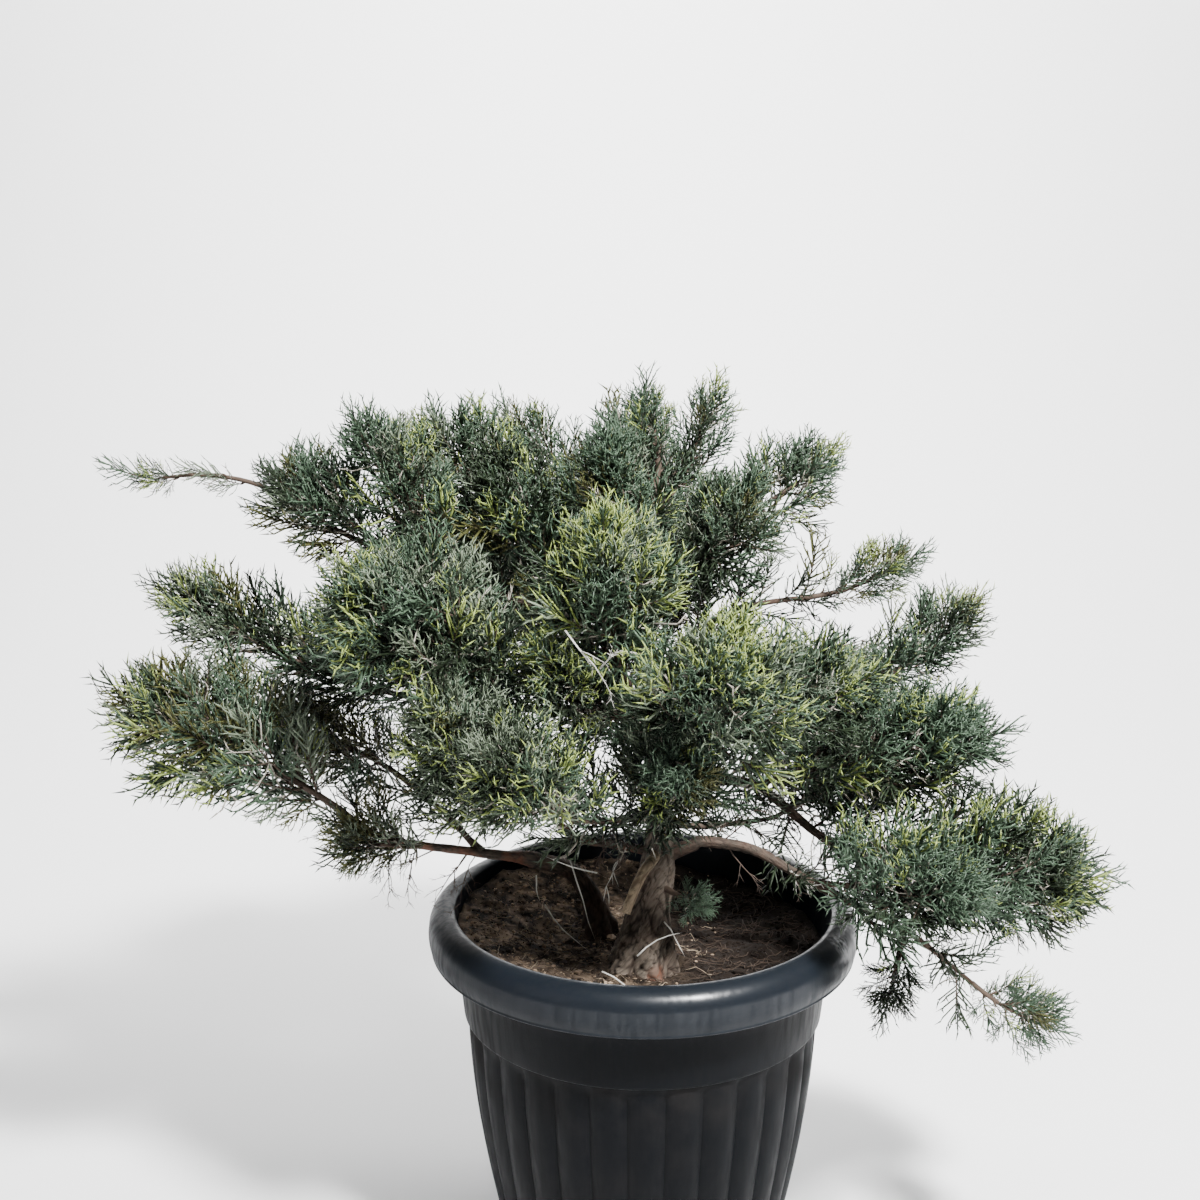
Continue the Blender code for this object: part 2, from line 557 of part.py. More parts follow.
class Mass:
    """A mass of foliage: its stem's start, its tip, and the flat walls of its own space."""

    def __init__(self, name, start, along, tip, radius, twigs, stem_radius):
        self.name = name
        self.start = start
        self.along = along
        self.tip = tip
        self.radius = radius
        self.twigs = twigs
        self.stem_radius = stem_radius
        self.walls = []

    def share_space(self, other):
        """Add the flat wall between this mass and another, nearer to the thinner one."""
        here, there = closest_between(self.start, self.tip, other.start, other.tip)
        normal = (there - here).normalized()
        split = here + (there - here) * self.radius / (self.radius + other.radius)
        self.walls.append((split - normal * CELL_GAP, normal))

    def holds(self, points):
        """Whether all the points lie inside this mass's own space."""
        return all((point - split).dot(normal) < 0 for split, normal in self.walls for point in points)

    def reach(self, share):
        """Radius of the plume at a share of its length: narrow at the root, full past the middle."""
        return self.radius * math.sin(math.pi * (0.10 + 0.86 * share) ** 1.2) ** 0.7

    def stem(self, count):
        """Points of the stem, which leaves along its limb and bends towards the tip."""
        length = (self.tip - self.start).length
        bend = self.start + self.along * length * 0.35
        end = self.start.lerp(self.tip, max(0.5, 1 - TIP_SPRAY / length))
        points = []
        for step in range(count + 1):
            t = step / count
            points.append(self.start * (1 - t) ** 2 + bend * 2 * t * (1 - t) + end * t ** 2)
        first = self.start + self.along * min(0.010, length * 0.08)
        return [points[0], first] + points[1:]


    def core(self, capsules):
        """A burr of points and hollows inside the plume, clear of its walls, the limbs and the pot."""
        rng = random.Random("core " + self.name)
        axis = (self.tip - self.start).normalized()
        length = (self.tip - self.start).length
        centre = self.start.lerp(self.tip, CORE_PLACE)
        bm = bmesh.new()
        bmesh.ops.create_icosphere(bm, subdivisions=2, radius=1.0)
        turn = axis.to_track_quat("Z", "Y")
        for number, vert in enumerate(bm.verts):
            ray = turn @ vert.co.normalized()
            lengthways = ray.dot(axis)
            sideways = math.sqrt(max(0.0, 1 - lengthways ** 2))
            size = 1 / math.hypot(lengthways / (length * CORE_LENGTH), sideways / (self.radius * CORE_WIDTH))
            size *= rng.uniform(0.88, 1.06) if number < 12 else CORE_DIP * rng.uniform(0.88, 1.12)
            for split, normal in self.walls:
                if ray.dot(normal) > 0:
                    size = min(size, 0.98 * (split - centre).dot(normal) / ray.dot(normal))
            vert.co = centre + ray * size
        for _ in range(24):
            tight = [face for face in bm.faces if not face_is_clear(face, capsules)]
            if not tight:
                break
            for vert in {vert for face in tight for vert in face.verts}:
                vert.co = centre + (vert.co - centre) * 0.88
        if tight or min((vert.co - centre).length for vert in bm.verts) < 0.004:
            bm.free()
            return None
        bmesh.ops.recalc_face_normals(bm, faces=bm.faces)
        mesh = bpy.data.meshes.new("core")
        bm.to_mesh(mesh)
        bm.free()
        return mesh


def face_is_clear(face, capsules):
    """Whether a face's corners, edges and middle keep clear of the limbs and the pot."""
    spots = [vert.co for vert in face.verts]
    spots += [(edge.verts[0].co + edge.verts[1].co) / 2 for edge in face.edges]
    middle = face.calc_center_median()
    spots += [middle] + [(middle + spot) / 2 for spot in spots]
    if not clear_of_pot(spots):
        return False
    return all(clear_of_limbs(spot, middle, 0.004, capsules) for spot in spots[:6])


def lay_out_masses(limbs):
    """Start, direction and own space of each mass."""
    masses = []
    for name, (limb, spot, tip, radius, twigs) in MASSES.items():
        parent = limbs[limb]
        tip = place(tip)
        stem_radius = parent.radii[-1] if spot is None else 0.0038
        start, along = parent.socket(place(spot) if spot else None, tip, stem_radius)
        masses.append(Mass(name, start, along, tip, radius, twigs, stem_radius))
    for mass in masses:
        for other in masses:
            if other is not mass:
                mass.share_space(other)
    return masses


def clear_of_limbs(start, end, radius, capsules):
    """Whether a stretch of this radius keeps clear of every limb."""
    for a, b, limb_radius in capsules:
        here, there = closest_between(start, end, a, b)
        if (here - there).length < radius + limb_radius + LIMB_GAP:
            return False
    return True


def clear_of_pot(points):
    """Whether the points keep clear of the pot and of the soil in it."""
    for point in points:
        radius = math.hypot(point.x, point.y)
        if point.z < RIM_HEIGHT + 0.012 and CREST_RADIUS - 0.02 < radius < RIM_RADIUS + 0.006:
            return False
        if point.z < RIM_HEIGHT - 0.02 and radius < CREST_RADIUS:
            return False
    return True


def spray_frame(direction, turn):
    """Unit vectors along, across and square to a blade, turned about its length."""
    along = direction.normalized()
    side = along.cross(Vector((0.0, 0.0, 1.0)))
    if side.length < 0.1:
        side = Vector((1.0, 0.0, 0.0))
    side.normalize()
    across = (Matrix.Rotation(turn, 3, along) @ side).normalized()
    return along, across, along.cross(across)


def spray_outline(root, frame, length, width):
    """Corners of a fan with three teeth, anticlockwise from the root."""
    along, across, _ = frame
    half = width / 2
    rows = ((0.00, 0.00), (0.66, -1.00), (0.64, -0.42), (1.00, 0.00), (0.62, 0.40), (0.56, 0.96))
    return [root + along * length * far + across * half * out for far, out in rows]


def spray_mesh(root, frame, length, width):
    """A toothed blade: a ring of corners between two low peaks, one on each face."""
    corners = spray_outline(root, frame, length, width)
    along, _, square = frame
    peak = root + along * length * 0.36
    mesh = bpy.data.meshes.new("spray")
    bm = bmesh.new()
    bmesh.ops.create_uvsphere(bm, u_segments=len(corners), v_segments=2, radius=1.0)
    ring = sorted((vert for vert in bm.verts if abs(vert.co.z) < 0.5), key=lambda vert: math.atan2(vert.co.y, vert.co.x))
    for vert in bm.verts:
        if abs(vert.co.z) > 0.5:
            vert.co = peak + square * SPRAY_THICKNESS / 2 * (1 if vert.co.z > 0 else -1)
    for vert, corner in zip(ring, corners):
        vert.co = corner
    bmesh.ops.recalc_face_normals(bm, faces=bm.faces)
    bm.to_mesh(mesh)
    bm.free()
    return mesh


def twig_mesh(start, end, first, last):
    """A three-sided tapering twig."""
    mesh = bpy.data.meshes.new("twig")
    bm = bmesh.new()
    length = (end - start).length
    turn = (end - start).to_track_quat("Z", "Y").to_matrix().to_4x4()
    bmesh.ops.create_cone(bm, cap_ends=True, segments=3, radius1=first, radius2=last, depth=length,
                          matrix=Matrix.Translation((start + end) / 2) @ turn)
    bm.to_mesh(mesh)
    bm.free()
    return mesh


def apart(root, end, other, width):
    """Whether a spray keeps apart from another one, past the first third of each."""
    other_root, frame, other_length, _ = other
    other_end = other_root + frame[0] * other_length
    here, there = closest_between(root.lerp(end, 0.33), end, other_root.lerp(other_end, 0.33), other_end)
    return (here - there).length > width * SPRAY_SPACING


def grow(mass, capsules):
    """Stem, twigs and sprays of a mass by the seeded rule. What leaves its space is skipped."""
    rng = random.Random(mass.name)
    stem = mass.stem(3)
    twigs = []
    sprays = []

    def try_spray(root, direction, size):
        for shrink in (1.0, 1.0, 0.85, 0.85, 0.7, 0.55):
            frame = spray_frame(direction, rng.uniform(-1.4, 1.4))
            length = SPRAY_LENGTH * size * shrink
            width = SPRAY_WIDTH * size * shrink
            corners = spray_outline(root, frame, length, width)
            end = root + frame[0] * length
            fits = mass.holds(corners) and clear_of_pot(corners)
            fits = fits and all(apart(root, end, other, width) for other in sprays)
            if fits and clear_of_limbs(root, end, width * 0.4, capsules):
                sprays.append((root, frame, length, width))
                return True
        return False

    turn = rng.uniform(0, math.tau)
    for number in range(mass.twigs):
        share = 0.16 + 0.80 * (number + 0.5) / mass.twigs
        position = share * (len(stem) - 1)
        index = min(int(position), len(stem) - 2)
        base = stem[index].lerp(stem[index + 1], position - index)
        forward = (stem[index + 1] - stem[index]).normalized()
        turn += GOLDEN_ANGLE
        side = spray_frame(forward, turn)[1]
        lean = math.radians(68 - 34 * share)
        heading = forward * math.cos(lean) + side * math.sin(lean) + Vector((0.0, 0.0, 0.18))
        heading.normalize()
        reach = mass.reach(share)
        blade = min(1.15, max(0.55, reach / 0.080))
        length = max(0.016, reach * 1.1 - SPRAY_LENGTH * blade * 0.70)
        end = base + heading * length
        ok = mass.holds([base, end]) and clear_of_pot([base, end])
        if ok and clear_of_limbs(base.lerp(end, 0.3), end, TWIG_RADIUS, capsules):
            got = try_spray(end - heading * ROOT_DEPTH, heading, blade)
            across = spray_frame(heading, rng.uniform(0, math.tau))[1]
            for side_turn in (-1, 1):
                fork = heading + across * side_turn * FORK_SPREAD
                got = try_spray(base.lerp(end, 0.6), fork, blade * 0.9) or got
            if got:
                twigs.append((base, end))
    forward = (stem[-1] - stem[-2]).normalized()
    size = ((mass.tip - stem[-1]).length + ROOT_DEPTH) / SPRAY_LENGTH
    try_spray(stem[-1] - forward * ROOT_DEPTH, mass.tip - stem[-1], size)
    across = spray_frame(forward, rng.uniform(0, math.tau))[1]
    try_spray(stem[-1].lerp(stem[-2], 0.3), forward + across * FORK_SPREAD, size * 0.9)
    return stem, twigs, sprays


def make_mass(mass, capsules, collection):
    """The mass's stem, twigs and sprays, fused into one solid."""
    stem, twigs, sprays = grow(mass, capsules)
    radii = taper(stem, mass.stem_radius, TWIG_RADIUS, 1)
    mesh = tube_mesh(mass.name, stem, radii, 0, collection)
    pieces = [twig_mesh(start, end, TWIG_RADIUS * 1.1, TWIG_RADIUS * 0.8) for start, end in twigs]
    pieces += [spray_mesh(*spray) for spray in sprays]
    core = mass.core(capsules) if mass.radius > DENSE_RADIUS else None
    if core:
        pieces.append(core)
    paint = "young_foliage" if mass.name in YOUNG else "foliage"
    return join("foliage_" + mass.name, mesh, pieces, collection, paint)


def main():
    for old in list(bpy.data.objects):
        bpy.data.objects.remove(old)
    collection = bpy.data.collections.new("potted_conifer")
    bpy.context.scene.collection.children.link(collection)
    make_pot(collection)
    make_soil(collection)
    limbs = lay_out_limbs()
    masses = lay_out_masses(limbs)
    for limb in limbs.values():
        make_limb(limb, collection)
    capsules = [capsule for limb in limbs.values() for capsule in limb.capsules()]
    for mass in masses:
        make_mass(mass, capsules, collection)


main()
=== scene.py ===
"""Looks of a spreading juniper-like conifer in a round fluted pot.

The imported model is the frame. The pot, the soil and every limb are modelled again in detail at the
same place, and each mass of foliage grows again, from the same limbs to the same tip, with finer
twigs and with strands in place of the plain blades. Lengths are metres and +Z is up.
"""
import math
import random

import bmesh
import bpy
import numpy as np
from bpy.props import FloatProperty, FloatVectorProperty, IntProperty, PointerProperty
from mathutils import Matrix, Vector, noise


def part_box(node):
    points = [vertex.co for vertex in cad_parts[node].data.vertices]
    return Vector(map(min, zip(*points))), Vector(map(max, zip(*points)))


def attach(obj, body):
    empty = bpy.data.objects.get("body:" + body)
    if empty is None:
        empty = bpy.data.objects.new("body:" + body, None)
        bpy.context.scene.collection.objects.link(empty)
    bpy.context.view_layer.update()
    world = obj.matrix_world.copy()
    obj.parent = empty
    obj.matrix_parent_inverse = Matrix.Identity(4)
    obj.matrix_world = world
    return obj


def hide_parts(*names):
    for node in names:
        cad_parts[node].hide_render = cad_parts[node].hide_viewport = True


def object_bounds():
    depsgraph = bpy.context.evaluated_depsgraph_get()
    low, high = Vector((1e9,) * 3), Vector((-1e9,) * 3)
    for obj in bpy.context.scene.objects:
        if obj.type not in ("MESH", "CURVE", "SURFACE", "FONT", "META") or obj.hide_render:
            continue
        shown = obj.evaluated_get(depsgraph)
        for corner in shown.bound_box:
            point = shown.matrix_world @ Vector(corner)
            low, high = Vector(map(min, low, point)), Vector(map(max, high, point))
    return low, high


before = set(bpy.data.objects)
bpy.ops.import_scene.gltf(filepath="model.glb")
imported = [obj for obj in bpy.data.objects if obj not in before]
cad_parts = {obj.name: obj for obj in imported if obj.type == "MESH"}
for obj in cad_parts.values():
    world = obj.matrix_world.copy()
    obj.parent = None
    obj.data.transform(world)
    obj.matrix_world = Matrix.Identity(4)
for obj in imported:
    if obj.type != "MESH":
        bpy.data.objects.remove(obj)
CAD_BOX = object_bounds()

bl_info = {
    "name": "Potted spreading conifer",
    "version": (1, 0, 0),
    "blender": (4, 5, 0),
    "location": "3D View > Sidebar > Conifer",
    "description": "Dresses the solids of a potted conifer with bark, twigs, strands, soil and a stage",
    "category": "Object",
}

RIM_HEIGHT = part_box("pot")[1].z
UP = Vector((0.0, 0.0, 1.0))
GOLDEN_ANGLE = math.radians(137.5)
FORK_ANGLE = math.radians(50)   # least angle between a limb and what grows from its side
ROOT_TAPER = 2.5                # how much faster a stem narrows above its root than near its end
COLLAR = 0.010                  # how far a limb's collar stands out of its parent
TIP_SPRAY = 0.0595              # the stem of a mass ends this far from its tip
SOIL_DEPTH = 0.042              # level of the soil's middle, below the crest of the rim
NEARLY_ALL = 0.99975            # keeps a share of a line just short of its end

# Each limb: its parent, its radius at each end, then the spots it runs through, as
# (right, back, height above the rim's crest), as the solids have them.
LIMBS = {
    "trunk": (None, 0.030, 0.0045, (
        (-0.005, -0.100, -SOIL_DEPTH), (0.004, -0.090, 0.030), (0.018, -0.060, 0.094),
        (0.014, -0.020, 0.177), (0.002, 0.015, 0.320), (-0.004, 0.028, 0.414), (0.012, 0.034, 0.487))),
    "stem_left": (None, 0.016, 0.009, (
        (-0.051, 0.020, -SOIL_DEPTH), (-0.062, 0.014, 0.000), (-0.086, 0.000, 0.038),
        (-0.128, -0.022, 0.060))),
    "bough_left_low": ("stem_left", 0.0085, 0.0045, (
        (-0.128, -0.022, 0.060), (-0.198, -0.050, 0.081), (-0.289, -0.070, 0.104),
        (-0.338, -0.077, 0.140))),
    "bough_left_fork": ("bough_left_low", 0.0055, 0.004, (
        (-0.185, -0.044, 0.078), (-0.226, -0.016, 0.112), (-0.270, 0.006, 0.142))),
    "bough_left_mid": ("trunk", 0.008, 0.004, (
        (0.008, 0.000, 0.235), (-0.090, 0.006, 0.232), (-0.170, 0.012, 0.232),
        (-0.238, 0.018, 0.238))),
    "bough_left_high": ("trunk", 0.008, 0.0035, (
        (0.004, 0.010, 0.290), (-0.110, 0.020, 0.345), (-0.230, 0.024, 0.385),
        (-0.340, 0.044, 0.428), (-0.404, 0.054, 0.466))),
    "bough_front_left": ("trunk", 0.0065, 0.004, (
        (0.016, -0.066, 0.086), (-0.040, -0.060, 0.094), (-0.080, -0.060, 0.104),
        (-0.126, -0.070, 0.160), (-0.150, -0.086, 0.240))),
    "bough_top_left": ("trunk", 0.006, 0.004, (
        (0.000, 0.020, 0.345), (-0.060, 0.060, 0.400), (-0.120, 0.090, 0.440))),
    "bough_top_right": ("trunk", 0.006, 0.004, (
        (0.002, 0.016, 0.325), (0.045, 0.036, 0.368), (0.090, 0.062, 0.412))),
    "bough_upper_right": ("trunk", 0.0065, 0.0035, (
        (0.006, 0.006, 0.270), (0.060, 0.012, 0.322), (0.120, 0.018, 0.350),
        (0.186, 0.020, 0.360))),
    "bough_right_mid": ("trunk", 0.008, 0.004, (
        (0.012, -0.012, 0.195), (0.090, -0.002, 0.224), (0.160, 0.012, 0.232),
        (0.232, 0.026, 0.246))),
    "bough_right_dark": ("trunk", 0.010, 0.005, (
        (0.016, -0.040, 0.140), (0.070, -0.014, 0.152), (0.130, -0.002, 0.142),
        (0.206, -0.020, 0.086), (0.262, -0.040, 0.064))),
    "bough_right_low": ("trunk", 0.0095, 0.003, (
        (0.014, -0.066, 0.082), (0.068, -0.062, 0.097), (0.121, -0.062, 0.088),
        (0.174, -0.070, 0.060), (0.232, -0.082, 0.032), (0.300, -0.100, 0.000),
        (0.366, -0.119, -0.050))),
    "bough_right_thin": ("trunk", 0.005, 0.0035, (
        (0.017, -0.050, 0.112), (0.077, -0.030, 0.104), (0.145, 0.020, 0.094),
        (0.170, 0.042, 0.096))),
    "bough_cut": ("trunk", 0.0058, 0.0050, (
        (0.016, -0.064, 0.088), (-0.002, -0.118, 0.084), (-0.014, -0.132, 0.064),
        (-0.022, -0.138, 0.044))),
    "bough_front_low": ("trunk", 0.007, 0.004, (
        (0.018, -0.052, 0.118), (-0.014, -0.104, 0.140), (-0.042, -0.146, 0.152),
        (-0.060, -0.172, 0.162))),
    "bough_front_mid": ("trunk", 0.006, 0.004, (
        (0.012, -0.014, 0.188), (-0.004, -0.070, 0.246), (-0.020, -0.106, 0.294))),
    "bough_front_right": ("trunk", 0.007, 0.004, (
        (0.017, -0.044, 0.130), (0.030, -0.100, 0.184), (0.036, -0.144, 0.224))),
    "bough_rear_left": ("trunk", 0.009, 0.0045, (
        (0.012, -0.016, 0.182), (-0.040, 0.070, 0.222), (-0.080, 0.120, 0.246))),
    "bough_rear_right": ("trunk", 0.009, 0.0045, (
        (0.010, -0.008, 0.205), (0.060, 0.070, 0.240), (0.098, 0.112, 0.256))),
    "bough_rear_mid": ("trunk", 0.008, 0.004, (
        (0.006, 0.004, 0.255), (0.004, 0.080, 0.296), (0.002, 0.130, 0.318))),
}

# Each mass: the limb it grows from, the spot on that limb (None at its end), its tip, its radius,
# and its shares of young, grey and olive growth.
MASSES = {
    "whip": ("bough_left_high", None, (-0.618, 0.050, 0.500), 0.030, (0.5, 0.1, 0.1)),
    "left_high": ("bough_left_high", (-0.290, 0.034, 0.408), (-0.437, 0.016, 0.505), 0.086, (0.25, 0.0, 0.1)),
    "left_leader": ("bough_left_high", (-0.200, 0.022, 0.376), (-0.331, -0.030, 0.580), 0.078,
                    (0.4, 0.1, 0.0)),
    "left_back": ("bough_left_mid", (-0.150, 0.010, 0.232), (-0.330, 0.120, 0.370), 0.129, (0.1, 0.2, 0.2)),
    "left_mid": ("bough_left_mid", None, (-0.582, 0.056, 0.366), 0.086, (0.3, 0.4, 0.1)),
    "left_low": ("bough_left_low", None, (-0.594, -0.056, 0.272), 0.112, (0.5, 0.3, 0.2)),
    "left_droop": ("bough_left_fork", None, (-0.470, 0.070, 0.212), 0.078, (0.2, 0.2, 0.5)),
    "left_olive": ("bough_left_low", (-0.250, -0.062, 0.095), (-0.355, -0.130, 0.128), 0.056,
                   (0.3, 0.1, 0.7)),
    "front_left": ("bough_front_left", None, (-0.324, -0.160, 0.420), 0.146, (0.35, 0.35, 0.0)),
    "front_left_low": ("bough_front_left", (-0.120, -0.068, 0.150), (-0.226, -0.240, 0.308), 0.108,
                       (0.35, 0.35, 0.1)),
    "top_left": ("bough_top_left", None, (-0.315, 0.124, 0.534), 0.096, (0.3, 0.1, 0.1)),
    "top_tuft": ("bough_top_left", (-0.060, 0.060, 0.400), (-0.178, 0.160, 0.570), 0.064, (0.3, 0.1, 0.1)),
    "upper_left": ("bough_left_high", (-0.090, 0.018, 0.336), (-0.176, 0.016, 0.526), 0.123, (0.3, 0.0, 0.1)),
    "centre_high": ("trunk", (-0.002, 0.024, 0.385), (-0.052, -0.040, 0.564), 0.086, (0.2, 0.0, 0.2)),
    "crown_top": ("trunk", None, (-0.006, 0.052, 0.614), 0.048, (0.3, 0.0, 0.2)),
    "crown_side": ("trunk", (0.003, 0.031, 0.450), (0.094, 0.090, 0.604), 0.062, (0.3, 0.0, 0.2)),
    "top_right": ("bough_top_right", None, (0.238, 0.110, 0.522), 0.076, (0.4, 0.1, 0.1)),
    "upper_mid": ("bough_top_right", (0.045, 0.036, 0.368), (0.122, -0.030, 0.492), 0.108, (0.2, 0.2, 0.1)),
    "upper_right": ("bough_upper_right", None, (0.328, 0.020, 0.410), 0.050, (0.4, 0.2, 0.2)),
    "right_mid": ("bough_right_mid", (0.090, -0.002, 0.224), (0.256, -0.066, 0.284), 0.098, (0.3, 0.1, 0.0)),
    "right_spur": ("bough_right_mid", None, (0.404, 0.056, 0.352), 0.070, (0.4, 0.1, 0.1)),
    "right_inner": ("bough_right_thin", None, (0.306, 0.110, 0.150), 0.118, (0.1, 0.1, 0.2)),
    "right_upper": ("bough_right_dark", (0.130, -0.002, 0.142), (0.404, -0.050, 0.214), 0.123,
                    (0.4, 0.0, 0.0)),
    "right_tip": ("bough_right_dark", None, (0.510, -0.100, 0.062), 0.129, (0.6, 0.0, 0.0)),
    "right_front": ("bough_right_low", (0.190, -0.073, 0.052), (0.350, -0.220, 0.094), 0.108,
                    (0.5, 0.0, 0.0)),
    "right_hang": ("bough_right_low", (0.290, -0.097, 0.005), (0.264, -0.116, -0.106), 0.046,
                   (0.2, 0.1, 0.1)),
    "right_end": ("bough_right_low", None, (0.470, -0.130, -0.114), 0.058, (0.5, 0.0, 0.1)),
    "centre": ("bough_front_mid", None, (-0.052, -0.200, 0.490), 0.112, (0.6, 0.25, 0.0)),
    "centre_left": ("bough_front_mid", (-0.004, -0.070, 0.246), (-0.118, -0.200, 0.350), 0.090,
                    (0.5, 0.45, 0.0)),
    "centre_right": ("bough_front_right", None, (0.064, -0.320, 0.374), 0.134, (0.7, 0.15, 0.0)),
    "front_low": ("bough_front_low", None, (-0.180, -0.300, 0.280), 0.086, (0.5, 0.25, 0.0)),
    "front_centre": ("bough_front_low", (-0.014, -0.104, 0.140), (0.052, -0.285, 0.262), 0.086,
                     (0.3, 0.1, 0.2)),
    "trunk_sprig": ("trunk", (0.012, -0.078, 0.055), (0.070, -0.160, 0.052), 0.036, (0.2, 0.1, 0.0)),
    "rear_left": ("bough_rear_left", None, (-0.320, 0.350, 0.340), 0.168, (0.3, 0.2, 0.1)),
    "rear_right": ("bough_rear_right", None, (0.330, 0.330, 0.170), 0.140, (0.4, 0.1, 0.1)),
    "rear_mid": ("bough_rear_mid", None, (-0.010, 0.410, 0.400), 0.168, (0.4, 0.1, 0.1)),
    "rear_top": ("trunk", (-0.002, 0.022, 0.365), (-0.020, 0.250, 0.530), 0.140, (0.3, 0.2, 0.1)),
}


def place(spot):
    """World place of a spot whose height is above the rim's crest."""
    return Vector((spot[0], spot[1], spot[2] + RIM_HEIGHT))


# ---------------------------------------------------------------- settings

def colour_setting(name, description, value):
    """A setting that holds a colour."""
    return FloatVectorProperty(name=name, description=description, subtype="COLOR", default=value)


def length_setting(name, description, value):
    """A setting in metres."""
    return FloatProperty(name=name, description=description, unit="LENGTH", default=value)


def power_setting(name, description, value):
    """A setting in watts."""
    return FloatProperty(name=name, description=description, unit="POWER", default=value)


class PotSettings(bpy.types.PropertyGroup):
    flutes: IntProperty(name="Flutes", description="Convex lobes round the body", default=30, min=8)
    flute_depth: length_setting("Flute depth", "Depth of the valleys between the lobes", 0.005)
    wall: length_setting("Wall", "Thickness of the wall", 0.004)
    colour: colour_setting("Plastic", "Colour of the moulded plastic", (0.0016, 0.0022, 0.0031))
    dust: colour_setting("Dust", "Colour of the dust on the pot", (0.0185, 0.0170, 0.0162))


class SoilSettings(bpy.types.PropertyGroup):
    bank: length_setting("Bank", "Rise of the soil against the left wall", 0.028)
    crumbs: IntProperty(name="Crumbs", description="Loose lumps on the soil", default=3800, min=0)
    fibres: IntProperty(name="Fibres", description="Dry roots and twigs on the soil", default=850, min=0)
    # The dark colour also fills the right of the soil as painted shade of the crown; the light one shows only
    # on the left.
    dark: colour_setting("Damp soil", "Colour in the soil's hollows", (0.009, 0.006, 0.0042))
    light: colour_setting("Dry soil", "Colour on the soil's lumps", (0.190, 0.138, 0.096))


class PlantSettings(bpy.types.PropertyGroup):
    plume_length: length_setting("Plume", "Length of one fox-tail of strands", 0.068)
    strands: IntProperty(name="Strands", description="Strands on a plume", default=20, min=4)
    strand_length: length_setting("Strand", "Length of a strand at a plume's root", 0.045)
    strand_radius: length_setting("Strand radius", "Radius of a strand at its root", 0.00120)
    twigs: FloatProperty(name="Twigs", default=780.0,
                         description="Twigs for each square metre of a mass's length by its radius")
    blue_green: colour_setting("Blue-green", "Colour of most old growth", (0.057, 0.092, 0.056))
    deep_green: colour_setting("Deep green", "Colour of shaded growth", (0.021, 0.033, 0.016))
    grey_green: colour_setting("Grey-green", "Colour of the palest old growth", (0.130, 0.160, 0.108))
    olive: colour_setting("Olive", "Colour of dry growth", (0.066, 0.068, 0.020))
    # Young tips show this colour only on plumes picked as lit, on the outside and most on top, so it is
    # partly painted light.
    young: colour_setting("Young", "Colour of young tips", (0.235, 0.295, 0.080))
    bark_dark: colour_setting("Dark bark", "Colour in the bark's fissures", (0.018, 0.014, 0.011))
    bark_light: colour_setting("Light bark", "Colour of the bark's flakes", (0.168, 0.138, 0.109))
    bough_bark: colour_setting("Bough bark", "Colour of the flakes on boughs", (0.066, 0.051, 0.039))


class StageSettings(bpy.types.PropertyGroup):
    floor: colour_setting("Floor", "Colour of the floor and backdrop", (0.86, 0.86, 0.86))
    key: power_setting("Key light", "Power of the light above the right", 620.0)
    fill: power_setting("Fill light", "Power of the soft light on the left", 9.0)
    backdrop: power_setting("Backdrop light", "Power of the light on the backdrop", 420.0)
    sky: FloatProperty(name="Sky", description="Strength of the even light all round", default=0.12)


# ---------------------------------------------------------------- lines and small meshes

def smooth_line(spots, per_span):
    """Points of a Catmull-Rom line through the spots."""
    points = []
    count = len(spots) - 1
    for span in range(count):
        before = spots[max(span - 1, 0)]
        start = spots[span]
        end = spots[span + 1]
        after = spots[min(span + 2, count)]
        for step in range(per_span):
            t = step / per_span
            cubic = 3 * start - before - 3 * end + after
            square = 2 * before - 5 * start + 4 * end - after
            linear = end - before
            points.append((2 * start + linear * t + square * t ** 2 + cubic * t ** 3) / 2)
    points.append(spots[-1])
    return points


def runs_of(points):
    """Length of the line up to each of its points."""
    runs = [0.0]
    for start, end in zip(points, points[1:]):
        runs.append(runs[-1] + (end - start).length)
    return runs


def even_line(points, spacing):
    """The same line with its points about evenly spaced."""
    runs = runs_of(points)
    count = max(2, round(runs[-1] / spacing))
    even = []
    index = 0
    for step in range(count + 1):
        run = runs[-1] * step / count
        while index < len(points) - 2 and runs[index + 1] < run:
            index += 1
        gap = max(runs[index + 1] - runs[index], 1e-9)
        even.append(points[index].lerp(points[index + 1], (run - runs[index]) / gap))
    return even


def point_at(points, position):
    """The point and the direction at a position that counts the steps of the line."""
    index = min(int(position), len(points) - 2)
    start = points[index]
    end = points[index + 1]
    return start.lerp(end, position - index), (end - start).normalized()


def nearest_on(points, radii, spot):
    """The point of the line nearest to the spot, the radius there, and the line's direction."""
    best = None
    for a, b, ra, rb in zip(points, points[1:], radii, radii[1:]):
        run = b - a
        share = min(max((spot - a).dot(run) / run.length_squared, 0.0), 1.0)
        found = (a + run * share, ra + (rb - ra) * share, run.normalized())
        if best is None or (found[0] - spot).length < (best[0] - spot).length:
            best = found
    return best


def closest_between(a, b, c, d):
    """Closest points of the stretches a-b and c-d."""
    ab = b - a
    cd = d - c
    ac = c - a
    ab2 = ab.dot(ab)
    cd2 = cd.dot(cd)
    both = ab.dot(cd)
    spread = ab2 * cd2 - both * both
    s = 0.5 if spread < 1e-12 else (ac.dot(ab) * cd2 - ac.dot(cd) * both) / spread
    s = min(max(s, 0.0), 1.0)
    t = min(max(((a + ab * s) - c).dot(cd) / cd2, 0.0), 1.0)
    s = min(max(((c + cd * t) - a).dot(ab) / ab2, 0.0), 1.0)
    return a + ab * s, c + cd * t


def across_of(direction, turn):
    """A unit vector square to the direction, turned about it from the level one."""
    along = direction.normalized()
    side = along.cross(UP)
    if side.length < 0.1:
        side = Vector((1.0, 0.0, 0.0))
    side.normalize()
    return (Matrix.Rotation(turn, 3, along) @ side).normalized()


